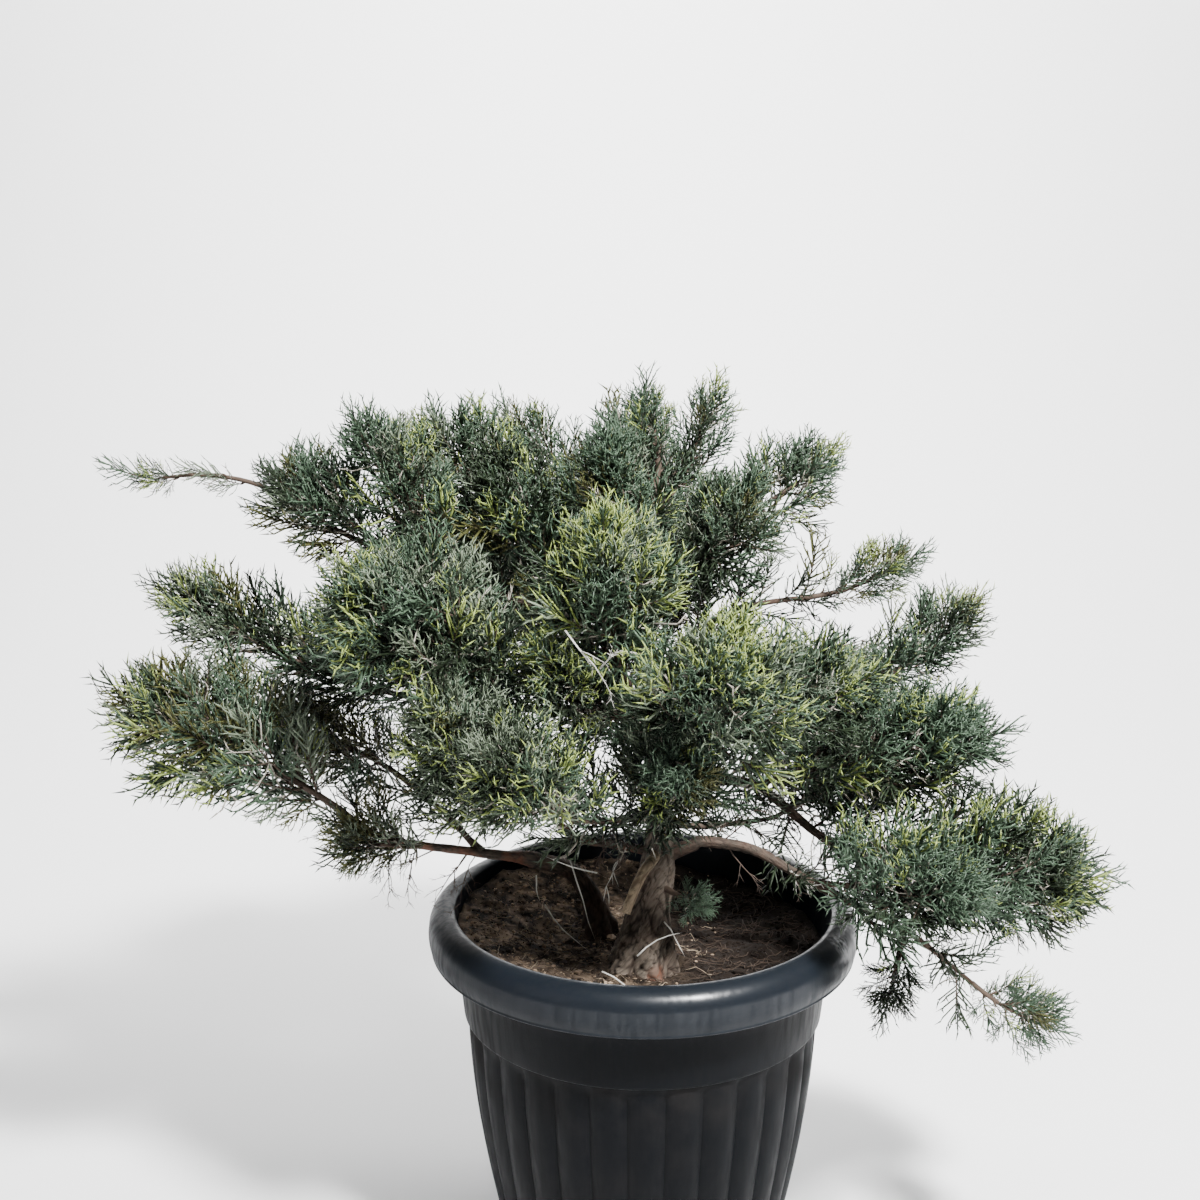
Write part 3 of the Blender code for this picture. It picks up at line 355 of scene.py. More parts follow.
def rings_of(points):
    """Two unit vectors square to the line at each point, carried along it without twist."""
    frames = []
    side = None
    for index in range(len(points)):
        ahead = points[min(index + 1, len(points) - 1)]
        behind = points[max(index - 1, 0)]
        along = (ahead - behind).normalized()
        if side is None:
            side = across_of(along, 0.0)
        side = (side - along * side.dot(along)).normalized()
        frames.append((side, along.cross(side)))
    return frames


def spike(points, radii, sides):
    """Vertices and triangles of a closed tapering tube whose last point is its tip."""
    vertices = []
    for point, radius, (side, square) in zip(points[:-1], radii, rings_of(points)):
        for number in range(sides):
            turn = math.tau * number / sides
            vertices.append(point + side * math.cos(turn) * radius + square * math.sin(turn) * radius)
    vertices.append(points[-1])
    faces = [(0, number + 1, number) for number in range(1, sides - 1)]
    for ring in range(len(points) - 2):
        low = ring * sides
        for number in range(sides):
            after = (number + 1) % sides
            faces.append((low + number, low + after, low + sides + after))
            faces.append((low + number, low + sides + after, low + sides + number))
    low = (len(points) - 2) * sides
    tip = len(vertices) - 1
    faces += [(low + number, low + (number + 1) % sides, tip) for number in range(sides)]
    return np.array([tuple(vertex) for vertex in vertices]), np.array(faces)


def new_object(name, content):
    """A new object in the scene, of a mesh, a light or a camera."""
    made = bpy.data.objects.new(name, content)
    bpy.context.scene.collection.objects.link(made)
    return made


class Heap:
    """Many small closed shapes that become one joined mesh."""

    def __init__(self):
        self.points = []
        self.faces = []
        self.count = 0
        self.triangles = 0

    def add(self, points, faces):
        """Add one small shape, whose faces count its own points."""
        if len(faces):
            self.points.append(points)
            self.faces.append(faces + self.count)
            self.count += len(points)
            self.triangles += len(faces)

    def arrays(self):
        """All vertices and all triangles, each in one array."""
        return np.concatenate(self.points), np.concatenate(self.faces)

    def piece(self, name, paint, smooth=True):
        """The object of the joined mesh, with its material."""
        points, faces = self.arrays()
        points = points.astype(np.float32)
        faces = faces.astype(np.int32)
        mesh = bpy.data.meshes.new(name)
        mesh.vertices.add(len(points))
        mesh.vertices.foreach_set("co", points.ravel())
        mesh.loops.add(faces.size)
        mesh.loops.foreach_set("vertex_index", faces.ravel())
        mesh.polygons.add(len(faces))
        mesh.polygons.foreach_set("loop_start", np.arange(0, faces.size, 3, dtype=np.int32))
        mesh.polygons.foreach_set("use_smooth", np.full(len(faces), smooth))
        mesh.update(calc_edges=True)
        mesh.materials.append(paint)
        return new_object(name, mesh)


def finish_piece(made, nodes):
    """The piece rides on the plant's one body and stands for its solids."""
    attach(made, "root")
    if nodes:
        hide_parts(*nodes)


# ---------------------------------------------------------------- materials

def new_group(name, inputs, outputs):
    """A shader node group with the named float or colour inputs and outputs."""
    group = bpy.data.node_groups.new(name, "ShaderNodeTree")
    for label, kind, value in inputs:
        socket = group.interface.new_socket(label, in_out="INPUT", socket_type="NodeSocket" + kind)
        socket.default_value = value
    for label, kind in outputs:
        group.interface.new_socket(label, in_out="OUTPUT", socket_type="NodeSocket" + kind)
    start = group.nodes.new("NodeGroupInput")
    end = group.nodes.new("NodeGroupOutput")
    return group, start.outputs, end.inputs


def add_node(tree, kind, values=(), **settings):
    """A node with its own settings and the values or links of its inputs."""
    made = tree.nodes.new(kind)
    for key, value in settings.items():
        setattr(made, key, value)
    for key, value in dict(values).items():
        if isinstance(value, bpy.types.NodeSocket):
            tree.links.new(value, made.inputs[key])
        else:
            made.inputs[key].default_value = value
    return made


def object_spot(tree):
    """The place on the object itself, in metres."""
    return add_node(tree, "ShaderNodeTexCoord").outputs["Object"]


def axes_of(tree, spot):
    """The X, Y and Z of a place."""
    return add_node(tree, "ShaderNodeSeparateXYZ", {0: spot}).outputs


def distance_from(tree, centre):
    """Distance of the place on the object from a centre."""
    made = add_node(tree, "ShaderNodeVectorMath", {0: object_spot(tree), 1: centre}, operation="DISTANCE")
    return made.outputs["Value"]


def map_range(tree, value, start, end, low=0.0, high=1.0):
    """The value carried from the run between start and end to the run between low and high."""
    made = add_node(tree, "ShaderNodeMapRange", {"Value": value, "From Min": start, "From Max": end,
                                                 "To Min": low, "To Max": high})
    return made.outputs["Result"]


def maths(tree, operation, first, second):
    """One Math node."""
    return add_node(tree, "ShaderNodeMath", {0: first, 1: second}, operation=operation).outputs[0]


def times(tree, first, *others):
    """The product of masks and numbers."""
    for other in others:
        first = maths(tree, "MULTIPLY", first, other)
    return first


def plus(tree, first, *others):
    """The sum of masks and numbers."""
    for other in others:
        first = maths(tree, "ADD", first, other)
    return first


def mottle_group():
    """Noise on object coordinates: a mask between two limits, and the same as a height."""
    inputs = (("Scale", "Float", 40.0), ("Detail", "Float", 3.0), ("Low", "Float", 0.35),
              ("High", "Float", 0.65), ("Stretch", "Float", 1.0))
    group, given, out = new_group("Mottle", inputs, (("Mask", "Float"), ("Height", "Float")))
    stretch = add_node(group, "ShaderNodeCombineXYZ", {0: 1.0, 1: 1.0, 2: given["Stretch"]})
    scaled = add_node(group, "ShaderNodeVectorMath", {0: object_spot(group), 1: stretch.outputs[0]},
                      operation="MULTIPLY")
    field = add_node(group, "ShaderNodeTexNoise", {"Vector": scaled.outputs[0], "Scale": given["Scale"],
                                                   "Detail": given["Detail"]}).outputs["Fac"]
    group.links.new(map_range(group, field, given["Low"], given["High"]), out["Mask"])
    group.links.new(field, out["Height"])
    return group


def mottle(tree, **values):
    """The Mottle group placed in a material with its own values."""
    group = bpy.data.node_groups.get("Mottle") or mottle_group()
    made = tree.nodes.new("ShaderNodeGroup")
    made.node_tree = group
    for key, value in values.items():
        made.inputs[key.capitalize()].default_value = value
    return made.outputs


def mix_colour(tree, mask, first, second):
    """The colour between two colours or sockets by a mask."""
    made = add_node(tree, "ShaderNodeMix", {0: mask}, data_type="RGBA")
    for number, value in ((6, first), (7, second)):
        if isinstance(value, bpy.types.NodeSocket):
            tree.links.new(value, made.inputs[number])
        else:
            made.inputs[number].default_value = (*value[:3], 1.0)
    return made.outputs[2]


def plain_material(name, roughness, specular):
    """A Principled material, its tree and its shader."""
    made = bpy.data.materials.new(name)
    made.use_nodes = True
    shader = made.node_tree.nodes["Principled BSDF"]
    shader.inputs["Roughness"].default_value = roughness
    shader.inputs["Specular IOR Level"].default_value = specular
    return made, made.node_tree, shader


def add_bump(tree, shader, height, strength, distance):
    """Relief from a height."""
    bump = add_node(tree, "ShaderNodeBump", {"Height": height, "Strength": strength, "Distance": distance})
    tree.links.new(bump.outputs["Normal"], shader.inputs["Normal"])


RIM_END = RIM_HEIGHT - 0.051        # level of the rolled rim's lower edge
BAND_END = RIM_HEIGHT - 0.1285      # level of the plain band's lower edge
DUST_END = RIM_HEIGHT - 0.20        # level where the thicker dust under the band has thinned out
SCUFF = (0.216, -0.104, RIM_HEIGHT - 0.012)
SCUFF_COLOUR = (0.55, 0.56, 0.57)
RIM_PALER = 3.5                     # how much paler the plastic is on the rim than elsewhere


def plastic_material(settings):
    """Dark moulded plastic: fine upright streaks on the rim, dust on the body, one pale scuff."""
    made, tree, shader = plain_material("pot_plastic", 0.4, 0.05)
    shader.inputs["Coat Roughness"].default_value = 0.27
    across, _, height = axes_of(tree, object_spot(tree))
    on_rim = maths(tree, "GREATER_THAN", height, RIM_END)
    on_body = maths(tree, "LESS_THAN", height, BAND_END)
    streaks = mottle(tree, scale=160.0, detail=4.0, low=0.40, high=0.68, stretch=0.10)
    clouds = mottle(tree, scale=22.0, detail=6.0, low=0.36, high=0.70)
    specks = mottle(tree, scale=420.0, detail=2.0, low=0.60, high=0.74)

    under_band = map_range(tree, height, DUST_END, RIM_HEIGHT - 0.13)
    body_dust = times(tree, on_body, plus(tree, 0.18, times(tree, under_band, 0.42)), clouds["Mask"])
    rim_dust = times(tree, streaks["Mask"], 0.10)
    dust = plus(tree, maths(tree, "MAXIMUM", body_dust, rim_dust), times(tree, specks["Mask"], 0.05))
    scuff = times(tree, map_range(tree, distance_from(tree, SCUFF), 0.020, 0.004), streaks["Mask"])
    rim_colour = [value * RIM_PALER for value in settings.colour]
    colour = mix_colour(tree, dust, mix_colour(tree, on_rim, settings.colour, rim_colour), settings.dust)
    tree.links.new(mix_colour(tree, scuff, colour, SCUFF_COLOUR), shader.inputs["Base Color"])

    polish = maths(tree, "SUBTRACT", 0.55, times(tree, streaks["Mask"], 0.35))
    dull_left = map_range(tree, across, -0.235, -0.05, 0.12)
    dull_below = map_range(tree, height, RIM_HEIGHT - 0.034, RIM_HEIGHT - 0.018, 0.45)
    gloss = times(tree, on_rim, times(tree, polish, dull_left, dull_below))
    tree.links.new(gloss, shader.inputs["Coat Weight"])
    rough = plus(tree, 0.40, times(tree, streaks["Mask"], 0.12), times(tree, dust, 0.8))
    tree.links.new(rough, shader.inputs["Roughness"])
    add_bump(tree, shader, plus(tree, times(tree, streaks["Height"], 0.5), specks["Height"]), 0.16, 0.0006)
    return made


PALE_GRAIN = (0.30, 0.23, 0.16)


def soil_material(settings):
    """Loose fibrous soil: dark hollows, and brown lumps and a few pale grains on the left, with painted shade
    darkening the right, where the crown's shadow falls.
    """
    made, tree, shader = plain_material("soil_loose", 0.95, 0.15)
    lumps = mottle(tree, scale=55.0, detail=8.0, low=0.40, high=0.66)
    grains = mottle(tree, scale=520.0, detail=3.0, low=0.60, high=0.72)
    damp = mottle(tree, scale=9.0, detail=4.0, low=0.38, high=0.62)
    # Painted shade: this mask fades the brown lumps and pale grains out towards the right, so the crown's
    # shadow there is painted into the soil.
    lit_left_side = map_range(tree, axes_of(tree, object_spot(tree))["X"], 0.06, -0.06)
    patchy = plus(tree, 0.35, times(tree, damp["Mask"], 0.65))
    colour = mix_colour(tree, times(tree, lumps["Mask"], patchy, lit_left_side), settings.dark, settings.light)
    pale = times(tree, grains["Mask"], 0.35, lit_left_side)
    tree.links.new(mix_colour(tree, pale, colour, PALE_GRAIN), shader.inputs["Base Color"])
    add_bump(tree, shader, plus(tree, lumps["Height"], times(tree, grains["Height"], 0.4)), 0.8, 0.003)
    return made


BARK_STREAKS = (330.0, 90.0, 1.0)   # streaks to a metre round a limb and along it
RED_BARK = (0.150, 0.052, 0.026)
SPLIT_WOOD = (0.120, 0.040, 0.020)


def bark_material(name, dark, light, red=0.0, split=None):
    """Flaky bark: pale plates between dark fissures, fine streaks along the limb, reddish wood in patches."""
    made, tree, shader = plain_material(name, 0.86, 0.25)
    along = add_node(tree, "ShaderNodeUVMap", uv_map="along").outputs["UV"]
    stretched = add_node(tree, "ShaderNodeMapping", {"Vector": along, "Scale": BARK_STREAKS}).outputs[0]
    streak = add_node(tree, "ShaderNodeTexNoise", {"Vector": stretched, "Scale": 1.0, "Detail": 6.0,
                                                   "Distortion": 0.8}).outputs["Fac"]
    fine = map_range(tree, streak, 0.30, 0.68)
    plate = add_node(tree, "ShaderNodeAttribute", attribute_name="plates").outputs["Fac"]
    patches = mottle(tree, scale=48.0, detail=5.0, low=0.42, high=0.64)
    colour = mix_colour(tree, times(tree, plate, plus(tree, 0.25, times(tree, fine, 0.75))), dark, light)
    if split:
        bare = times(tree, map_range(tree, distance_from(tree, split), 0.016, 0.006), fine)
        colour = mix_colour(tree, bare, colour, SPLIT_WOOD)
    reddish = times(tree, patches["Mask"], red)
    tree.links.new(mix_colour(tree, reddish, colour, RED_BARK), shader.inputs["Base Color"])
    rough = maths(tree, "SUBTRACT", 0.90, times(tree, reddish, 0.70))
    tree.links.new(rough, shader.inputs["Roughness"])
    add_bump(tree, shader, streak, 0.7, 0.0016)
    return made


LEAF_ROUGHNESS = 0.48
DRY_ROUGHNESS = 0.8


def strand_material(name, colour, roughness):
    """Leaves, twigs or fibres of one plain colour, a little uneven, with a fine relief."""
    made, tree, shader = plain_material(name, roughness, 0.38)
    spots = mottle(tree, scale=75.0, detail=3.0, low=0.30, high=0.70)
    darker = [value * 0.78 for value in colour]
    paler = [value * 1.22 for value in colour]
    tree.links.new(mix_colour(tree, spots["Mask"], darker, paler), shader.inputs["Base Color"])
    scales = mottle(tree, scale=900.0, detail=1.0)
    add_bump(tree, shader, scales["Height"], 0.5, 0.0004)
    return made


# ---------------------------------------------------------------- limbs

END_OVERLAP = 0.004             # what grows on from a limb's end starts this far back inside it
NEAR_END = 0.01                 # a bough that starts this near its parent's end grows on from it
STRAIGHT_START = 0.012          # a bough leaves its parent straight for this far


class Limb:
    """A limb's line and radii, as its solid has them."""

    def __init__(self, name, root, points, radii):
        self.name = name
        self.root = root
        self.points = points
        self.radii = radii

    def socket(self, spot, toward):
        """Root on this limb's line, start and direction for what grows from it here."""
        if spot is None:
            along = (self.points[-1] - self.points[-2]).normalized()
            return self.points[-1] - along * END_OVERLAP, self.points[-1], along
        base, thick, axis = nearest_on(self.points, self.radii, spot)
        along = (toward - base).normalized()
        if abs(along.dot(axis)) > math.cos(FORK_ANGLE):
            outward = (along - axis * along.dot(axis)).normalized()
            lengthways = math.copysign(math.cos(FORK_ANGLE), along.dot(axis))
            along = outward * math.sin(FORK_ANGLE) + axis * lengthways
        return base, base + along * (thick + COLLAR), along


def lay_out_limbs():
    """Lines and radii of all limbs."""
    limbs = {}
    for name, (parent, first, last, spots) in LIMBS.items():
        spots = [place(spot) for spot in spots]
        root = None
        if parent:
            at_end = (limbs[parent].points[-1] - spots[0]).length < NEAR_END
            root, start, along = limbs[parent].socket(None if at_end else spots[0], spots[1])
            spots = [start, start + along * STRAIGHT_START] + spots[1:]
        points = smooth_line(spots, 8)
        runs = runs_of(points)
        power = 1 if parent else ROOT_TAPER
        radii = [last + (first - last) * (1 - run / runs[-1]) ** power for run in runs]
        limbs[name] = Limb(name, root, points, radii)
    return limbs


# Sizes of the bark's features, round the limb and along it
DRIFT = (0.020, 0.030)
LONG_CRACK = (0.0070, 0.036)
SHORT_CRACK = (0.0110, 0.011)
FLAKE = (0.0032, 0.010)
CRACK_WIDTHS = (0.13, 0.07)     # of long and short cracks, as shares of the plates beside them
PLATE_RELIEF = 0.11             # reliefs are shares of the limb's radius
FLAKE_RELIEF = 0.05
LUMP_RELIEF = 0.14


def bark_noise(x, y, run, size, shift):
    """Noise at a spot of a limb's bark, with features of the given size."""
    across, along = size
    return noise.noise(Vector((x / across + shift[0], y / across + shift[1], run / along + shift[2])))


def bark_relief(turn, run, radius, seed):
    """Height of the bark's plates, from 0 in a fissure to 1, and the share by which the bark stands out."""
    x = math.cos(turn) * radius
    y = math.sin(turn) * radius
    drift = bark_noise(x, y, run, DRIFT, (0.0, 0.0, seed))
    long_crack = abs(bark_noise(x, y, run, LONG_CRACK, (drift, 0.0, seed)))
    short_crack = abs(bark_noise(x, y, run, SHORT_CRACK, (0.0, drift, seed + 9.0)))
    plate = min(long_crack / CRACK_WIDTHS[0], short_crack / CRACK_WIDTHS[1], 1.0)
    flake = bark_noise(x, y, run, FLAKE, (0.0, 0.0, seed))
    lump = noise.noise(Vector((math.cos(turn) * 0.8, math.sin(turn) * 0.8, run / 0.05 + seed)))
    return plate, PLATE_RELIEF * (plate - 0.5) + FLAKE_RELIEF * flake + LUMP_RELIEF * lump


FOOT_SINK = 0.012               # the bark of a rooted limb goes on this far below the soil
BUTTRESSES = 5                  # ridges round a foot
SLIM_BOUGH = 0.70               # radius of a bough's bark against its solid, past the collar
COLLAR_SIZE = 1.14              # and at its root


def bark_size(limb, turn, run, seed):
    """Radius of the bark against that of the limb's solid: a flare at a foot, a collar at a root."""
    first = limb.radii[0]
    if limb.root is None:
        flare = math.exp(-max(run - FOOT_SINK, 0.0) / (1.1 * first))
        return 1 + flare * (0.26 + 0.24 * math.cos(BUTTRESSES * turn + seed))
    slim = 1.0 if limb.name == "bough_cut" else SLIM_BOUGH
    return slim + (COLLAR_SIZE - slim) * math.exp(-(run / (2.6 * first)) ** 2)


def bark_piece(limb, sides, spacing, paint):
    """A limb with bark relief: a collar at its root, buttresses at a foot, a closed end."""
    foot = limb.points[0] - UP * FOOT_SINK if limb.root is None else limb.root
    line = even_line([foot, *limb.points], spacing)
    seed = random.Random(limb.name).uniform(0, 50)
    vertices = []
    uvs = []
    plates = []
    for point, run, (side, square) in zip(line, runs_of(line), rings_of(line)):
        radius = nearest_on(limb.points, limb.radii, point)[1]
        for number in range(sides):
            turn = math.tau * number / sides
            plate, relief = bark_relief(turn, run, radius, seed)
            out = side * math.cos(turn) + square * math.sin(turn)
            size = (1 + relief) * bark_size(limb, turn, run, seed)
            vertices.append(point + out * radius * size)
            uvs.append((turn * radius, run))
            plates.append(plate)
    faces = []
    for low in range(0, (len(line) - 1) * sides, sides):
        for number in range(sides):
            after = (number + 1) % sides
            faces.append((low + number, low + after, low + sides + after, low + sides + number))
    faces.append(tuple(range(sides))[::-1])
    faces.append(tuple(range(len(vertices) - sides, len(vertices))))
    name = limb.name + "_bark"
    mesh = bpy.data.meshes.new(name)
    mesh.from_pydata(vertices, [], faces)
    layer = mesh.uv_layers.new(name="along")
    for loop in mesh.loops:
        layer.data[loop.index].uv = uvs[loop.vertex_index]
    mesh.attributes.new("plates", "FLOAT", "POINT").data.foreach_set("value", plates)
    made = new_object(name, mesh)
    mesh.shade_smooth()
    mesh.materials.append(paint)
    finish_piece(made, [limb.name])


# ---------------------------------------------------------------- masses

STEM_RADIUS = 0.0038            # of a stem that leaves its limb's side
TIP_MARGIN = 0.004              # a plume's tip stays this far inside the reach of its mass
BOX_MARGIN = 0.004              # and no further than this out of the box of all solids
BLUNT_END = 0.30                # share of a strand that tapers to its tip
SPRIG_SPACING = 0.010           # between short plumes that leave a limb's own bark
TUFT_RATE = 13.0                # how many tufts to a metre
TUFT_DEPTH = 0.55               # how far tufts stand out of the gaps between them, as a share of the reach

# Share of a limb, from its root, that carries no sprigs
BARE_SHARE = {"trunk": 0.42, "bough_left_low": 0.56, "bough_left_fork": 0.30, "bough_front_left": 0.50,
              "bough_right_low": 0.52, "bough_right_dark": 0.28, "bough_right_thin": 0.40,
              "bough_upper_right": 0.42}

# How much larger the sprigs are on the sides and top of a limb that runs through a dense part of the crown
SPRIG_SIZE = {"bough_right_dark": 1.5, "bough_upper_right": 1.15}

# How full a mass is, against the others
FULLNESS = {"rear_left": 0.62, "rear_right": 0.65, "rear_mid": 0.62, "rear_top": 0.62, "front_low": 1.5,
            "front_left_low": 1.3, "front_centre": 1.4, "centre_left": 1.5, "left_olive": 1.3,
            "left_droop": 1.4, "right_inner": 1.3, "right_spur": 1.3, "right_upper": 1.15,
            "upper_right": 1.7, "right_end": 1.4, "right_hang": 1.3}

# Least and greatest height of a plume's tip above the rim's crest, for masses with open air below or above
LEVELS = {"front_low": (0.188, 1.0), "front_centre": (0.150, 1.0), "front_left_low": (0.140, 1.0),
          "right_mid": (0.0, 0.345), "rear_right": (0.0, 0.225)}


class Mass:
    """A mass of foliage: its root, its stem's start, its tip and the walls of its own space."""

    def __init__(self, name, limbs):
        limb, spot, tip, self.radius, self.tones = MASSES[name]
        self.name = name
        self.limb = limb
        self.tip = place(tip)
        self.root, self.start, self.along = limbs[limb].socket(place(spot) if spot else None, self.tip)
        self.stem_radius = limbs[limb].radii[-1] if spot is None else STEM_RADIUS
        self.length = (self.tip - self.start).length
        self.line = self.stem(8)[1:] + [self.tip]
        self.runs = runs_of(self.line)
        self.walls = []

    def share_space(self, other):
        """Add the flat wall between this mass and another, nearer to the thinner one."""
        here, there = closest_between(self.start, self.tip, other.start, other.tip)
        normal = (there - here).normalized()
        split = here + (there - here) * self.radius / (self.radius + other.radius)
        self.walls.append((split, normal))

    def room(self, point):
        """Distance from the point to the nearest wall of this mass's space."""
        return min(-(point - split).dot(normal) for split, normal in self.walls)

    def reach(self, share):
        """Radius of the mass at a share of its length: narrow at the root, full past the middle."""
        return self.radius * math.sin(math.pi * (0.10 + 0.86 * share) ** 1.2) ** 0.7

    def holds(self, point):
        """Whether a point is well within the mass's reach."""
        best = None
        for index, (a, b) in enumerate(zip(self.line, self.line[1:])):
            run = b - a
            share = min(max((point - a).dot(run) / run.length_squared, 0.0), 1.0)
            away = (a + run * share - point).length
            if best is None or away < best[0]:
                best = (away, self.runs[index] + run.length * share)
        away, run = best
        return away < self.reach(run / self.runs[-1]) - TIP_MARGIN

    def stem(self, count):
        """Points of the stem, which leaves along its limb and bends towards the tip."""
        bend = self.start + self.along * self.length * 0.35
        end = self.start.lerp(self.tip, max(0.5, 1 - TIP_SPRAY / self.length))
        points = [self.root]
        for step in range(count + 1):
            t = step / count
            points.append(self.start * (1 - t) ** 2 + bend * 2 * t * (1 - t) + end * t ** 2)
        return points


def lay_out_masses(limbs):
    """All masses, each with its own space."""
    masses = [Mass(name, limbs) for name in MASSES]
    for mass in masses:
        for other in masses:
            if other is not mass:
                mass.share_space(other)
    return masses


POT_EDGE = 0.252                # radius round the rolled rim
SOIL_EDGE = 0.205               # radius of the open soil inside the wall
RIM_DEPTH = 0.02                # what is inside the wall stays no lower than this below the crest


def clear_of_pot(point, gap):
    """Whether a point keeps clear of the pot and of the soil in it."""
    radius = math.hypot(point.x, point.y)
    if point.z > RIM_HEIGHT + gap:
        return True
    return radius > POT_EDGE + gap or (radius < SOIL_EDGE - gap and point.z > RIM_HEIGHT - RIM_DEPTH + gap)


def clear_of_limbs(start, end, gap, stretches):
    """Whether a stretch keeps this far from the bark of every limb."""
    for a, b, radius in stretches:
        here, there = closest_between(start, end, a, b)
        if (here - there).length < radius + gap:
            return False
    return True


def strand_line(root, heading, forward, length, bends):
    """Points of a strand that leaves along the heading and curves forwards, with a short last step."""
    points = [root]
    for step in range(bends):
        blend = (step + 0.3) / bends * 0.75
        direction = heading.lerp(forward, blend).normalized()
        run = length * BLUNT_END if step == bends - 1 else length * (1 - BLUNT_END) / (bends - 1)
        points.append(points[-1] + direction * run)
    return points


# A plume's axis and strands. Pairs hold a value at the plume's root and what it loses up to the tip.
PLUME_SHAPES = 12               # different plumes that are dealt out
AXIS_RADII = (0.0013, 0.0012, 0.0011, 0.0009)
AXIS_BEND = 0.012               # how far the tip bends aside
STRAND_LEAN = (60, 32)          # degrees from the axis
STRAND_SIZE = (1.06, 0.36)      # share of the full length of a strand
UPWARD = Vector((0.50, 0.0, 0.87))
FORKS = (0.56, 0.80)            # where a strand forks, as shares of its steps
FORK_LENGTHS = (0.010, 0.0155)
DRY_ODDS = 0.22                 # of strands on the plume's lowest quarter
FRESH_ODDS = 0.42               # of strands above its middle


def plume_shapes(settings, seed):
    """One fox-tail along +Z, curving up towards +X: old strands, young tips, dry strands and axis."""
    rng = random.Random(seed)
    spans = len(AXIS_RADII)
    axis = [Vector((AXIS_BEND * (step / spans) ** 2, 0.0, settings.plume_length * step / spans))
            for step in range(spans + 1)]
    shape = {kind: Heap() for kind in ("old", "young", "dry", "wood")}
    shape["wood"].add(*spike(axis, AXIS_RADII, 3))
    turn = rng.uniform(0, math.tau)
    for number in range(settings.strands):
        share = 0.05 + 0.94 * (number / (settings.strands - 1)) ** 0.85
        base, _ = point_at(axis, share * NEARLY_ALL * spans)
        turn += GOLDEN_ANGLE + rng.uniform(-0.35, 0.35)
        lean = math.radians(STRAND_LEAN[0] - STRAND_LEAN[1] * share + rng.uniform(-9, 9))
        side = Vector((math.cos(turn), math.sin(turn), 0.0))
        heading = UP * math.cos(lean) + side * math.sin(lean)
        size = settings.strand_length * (STRAND_SIZE[0] - STRAND_SIZE[1] * share) * rng.uniform(0.82, 1.12)
        bends = 3 if share < 0.15 else 2
        line = strand_line(base, heading, UPWARD, size, bends)
        radius = settings.strand_radius * rng.uniform(0.88, 1.12)
        dry = share < 0.25 and rng.random() < DRY_ODDS
        fresh = share > 0.40 and rng.random() < FRESH_ODDS
        kind = "dry" if dry else "young" if fresh else "old"
        shape[kind].add(*spike(line, [radius, radius, radius * 0.85], 3))
        flank = rng.choice((-1, 1))
        for fork_share in FORKS:
            start, along = point_at(line, fork_share * bends)
            flank = -flank
            out = across_of(along, rng.uniform(-0.7, 0.7)) * flank
            tip = start + (along * 0.80 + out * 0.60) * rng.uniform(*FORK_LENGTHS)
            young_fork = share > 0.2 and fork_share > 0.6
            kind = "dry" if dry else "young" if fresh or young_fork else "old"
            shape[kind].add(*spike([start, tip], [radius * 1.1], 3))
    return shape


# How a mass grows. Pairs hold a value at the stem's root and what it loses up to the tip.
TWIG_LEAN = (74, 38)            # degrees from the stem
TWIG_LIFT = 0.06                # how far twigs turn up where they leave the stem
TWIG_RISE = 0.28                # and towards their ends
TWIG_RADII = (0.0017, 0.0009)
STEM_TIP_RADIUS = 0.0018
PLUME_SPACING = 0.016           # between the side plumes of a twig
PLUME_REACH = 0.80              # share of a plume that stands past its twig's end
FULL_SIZE_RADIUS = 0.080        # radius of a mass whose plumes have their full size
PLUME_SIZES = (0.68, 1.15)      # least and greatest size of plumes
SHRINKS = (1.0, 0.8, 0.62, 0.48)  # a plume that doesn't fit is tried at these sizes
TIP_OVERLAP = 0.014             # how far a plume's tip may reach past its mass's walls
MIDDLE_OVERLAP = 0.004          # and how far its middle may
MIN_TWIGS = 120                 # least twigs for each metre of a mass's radius


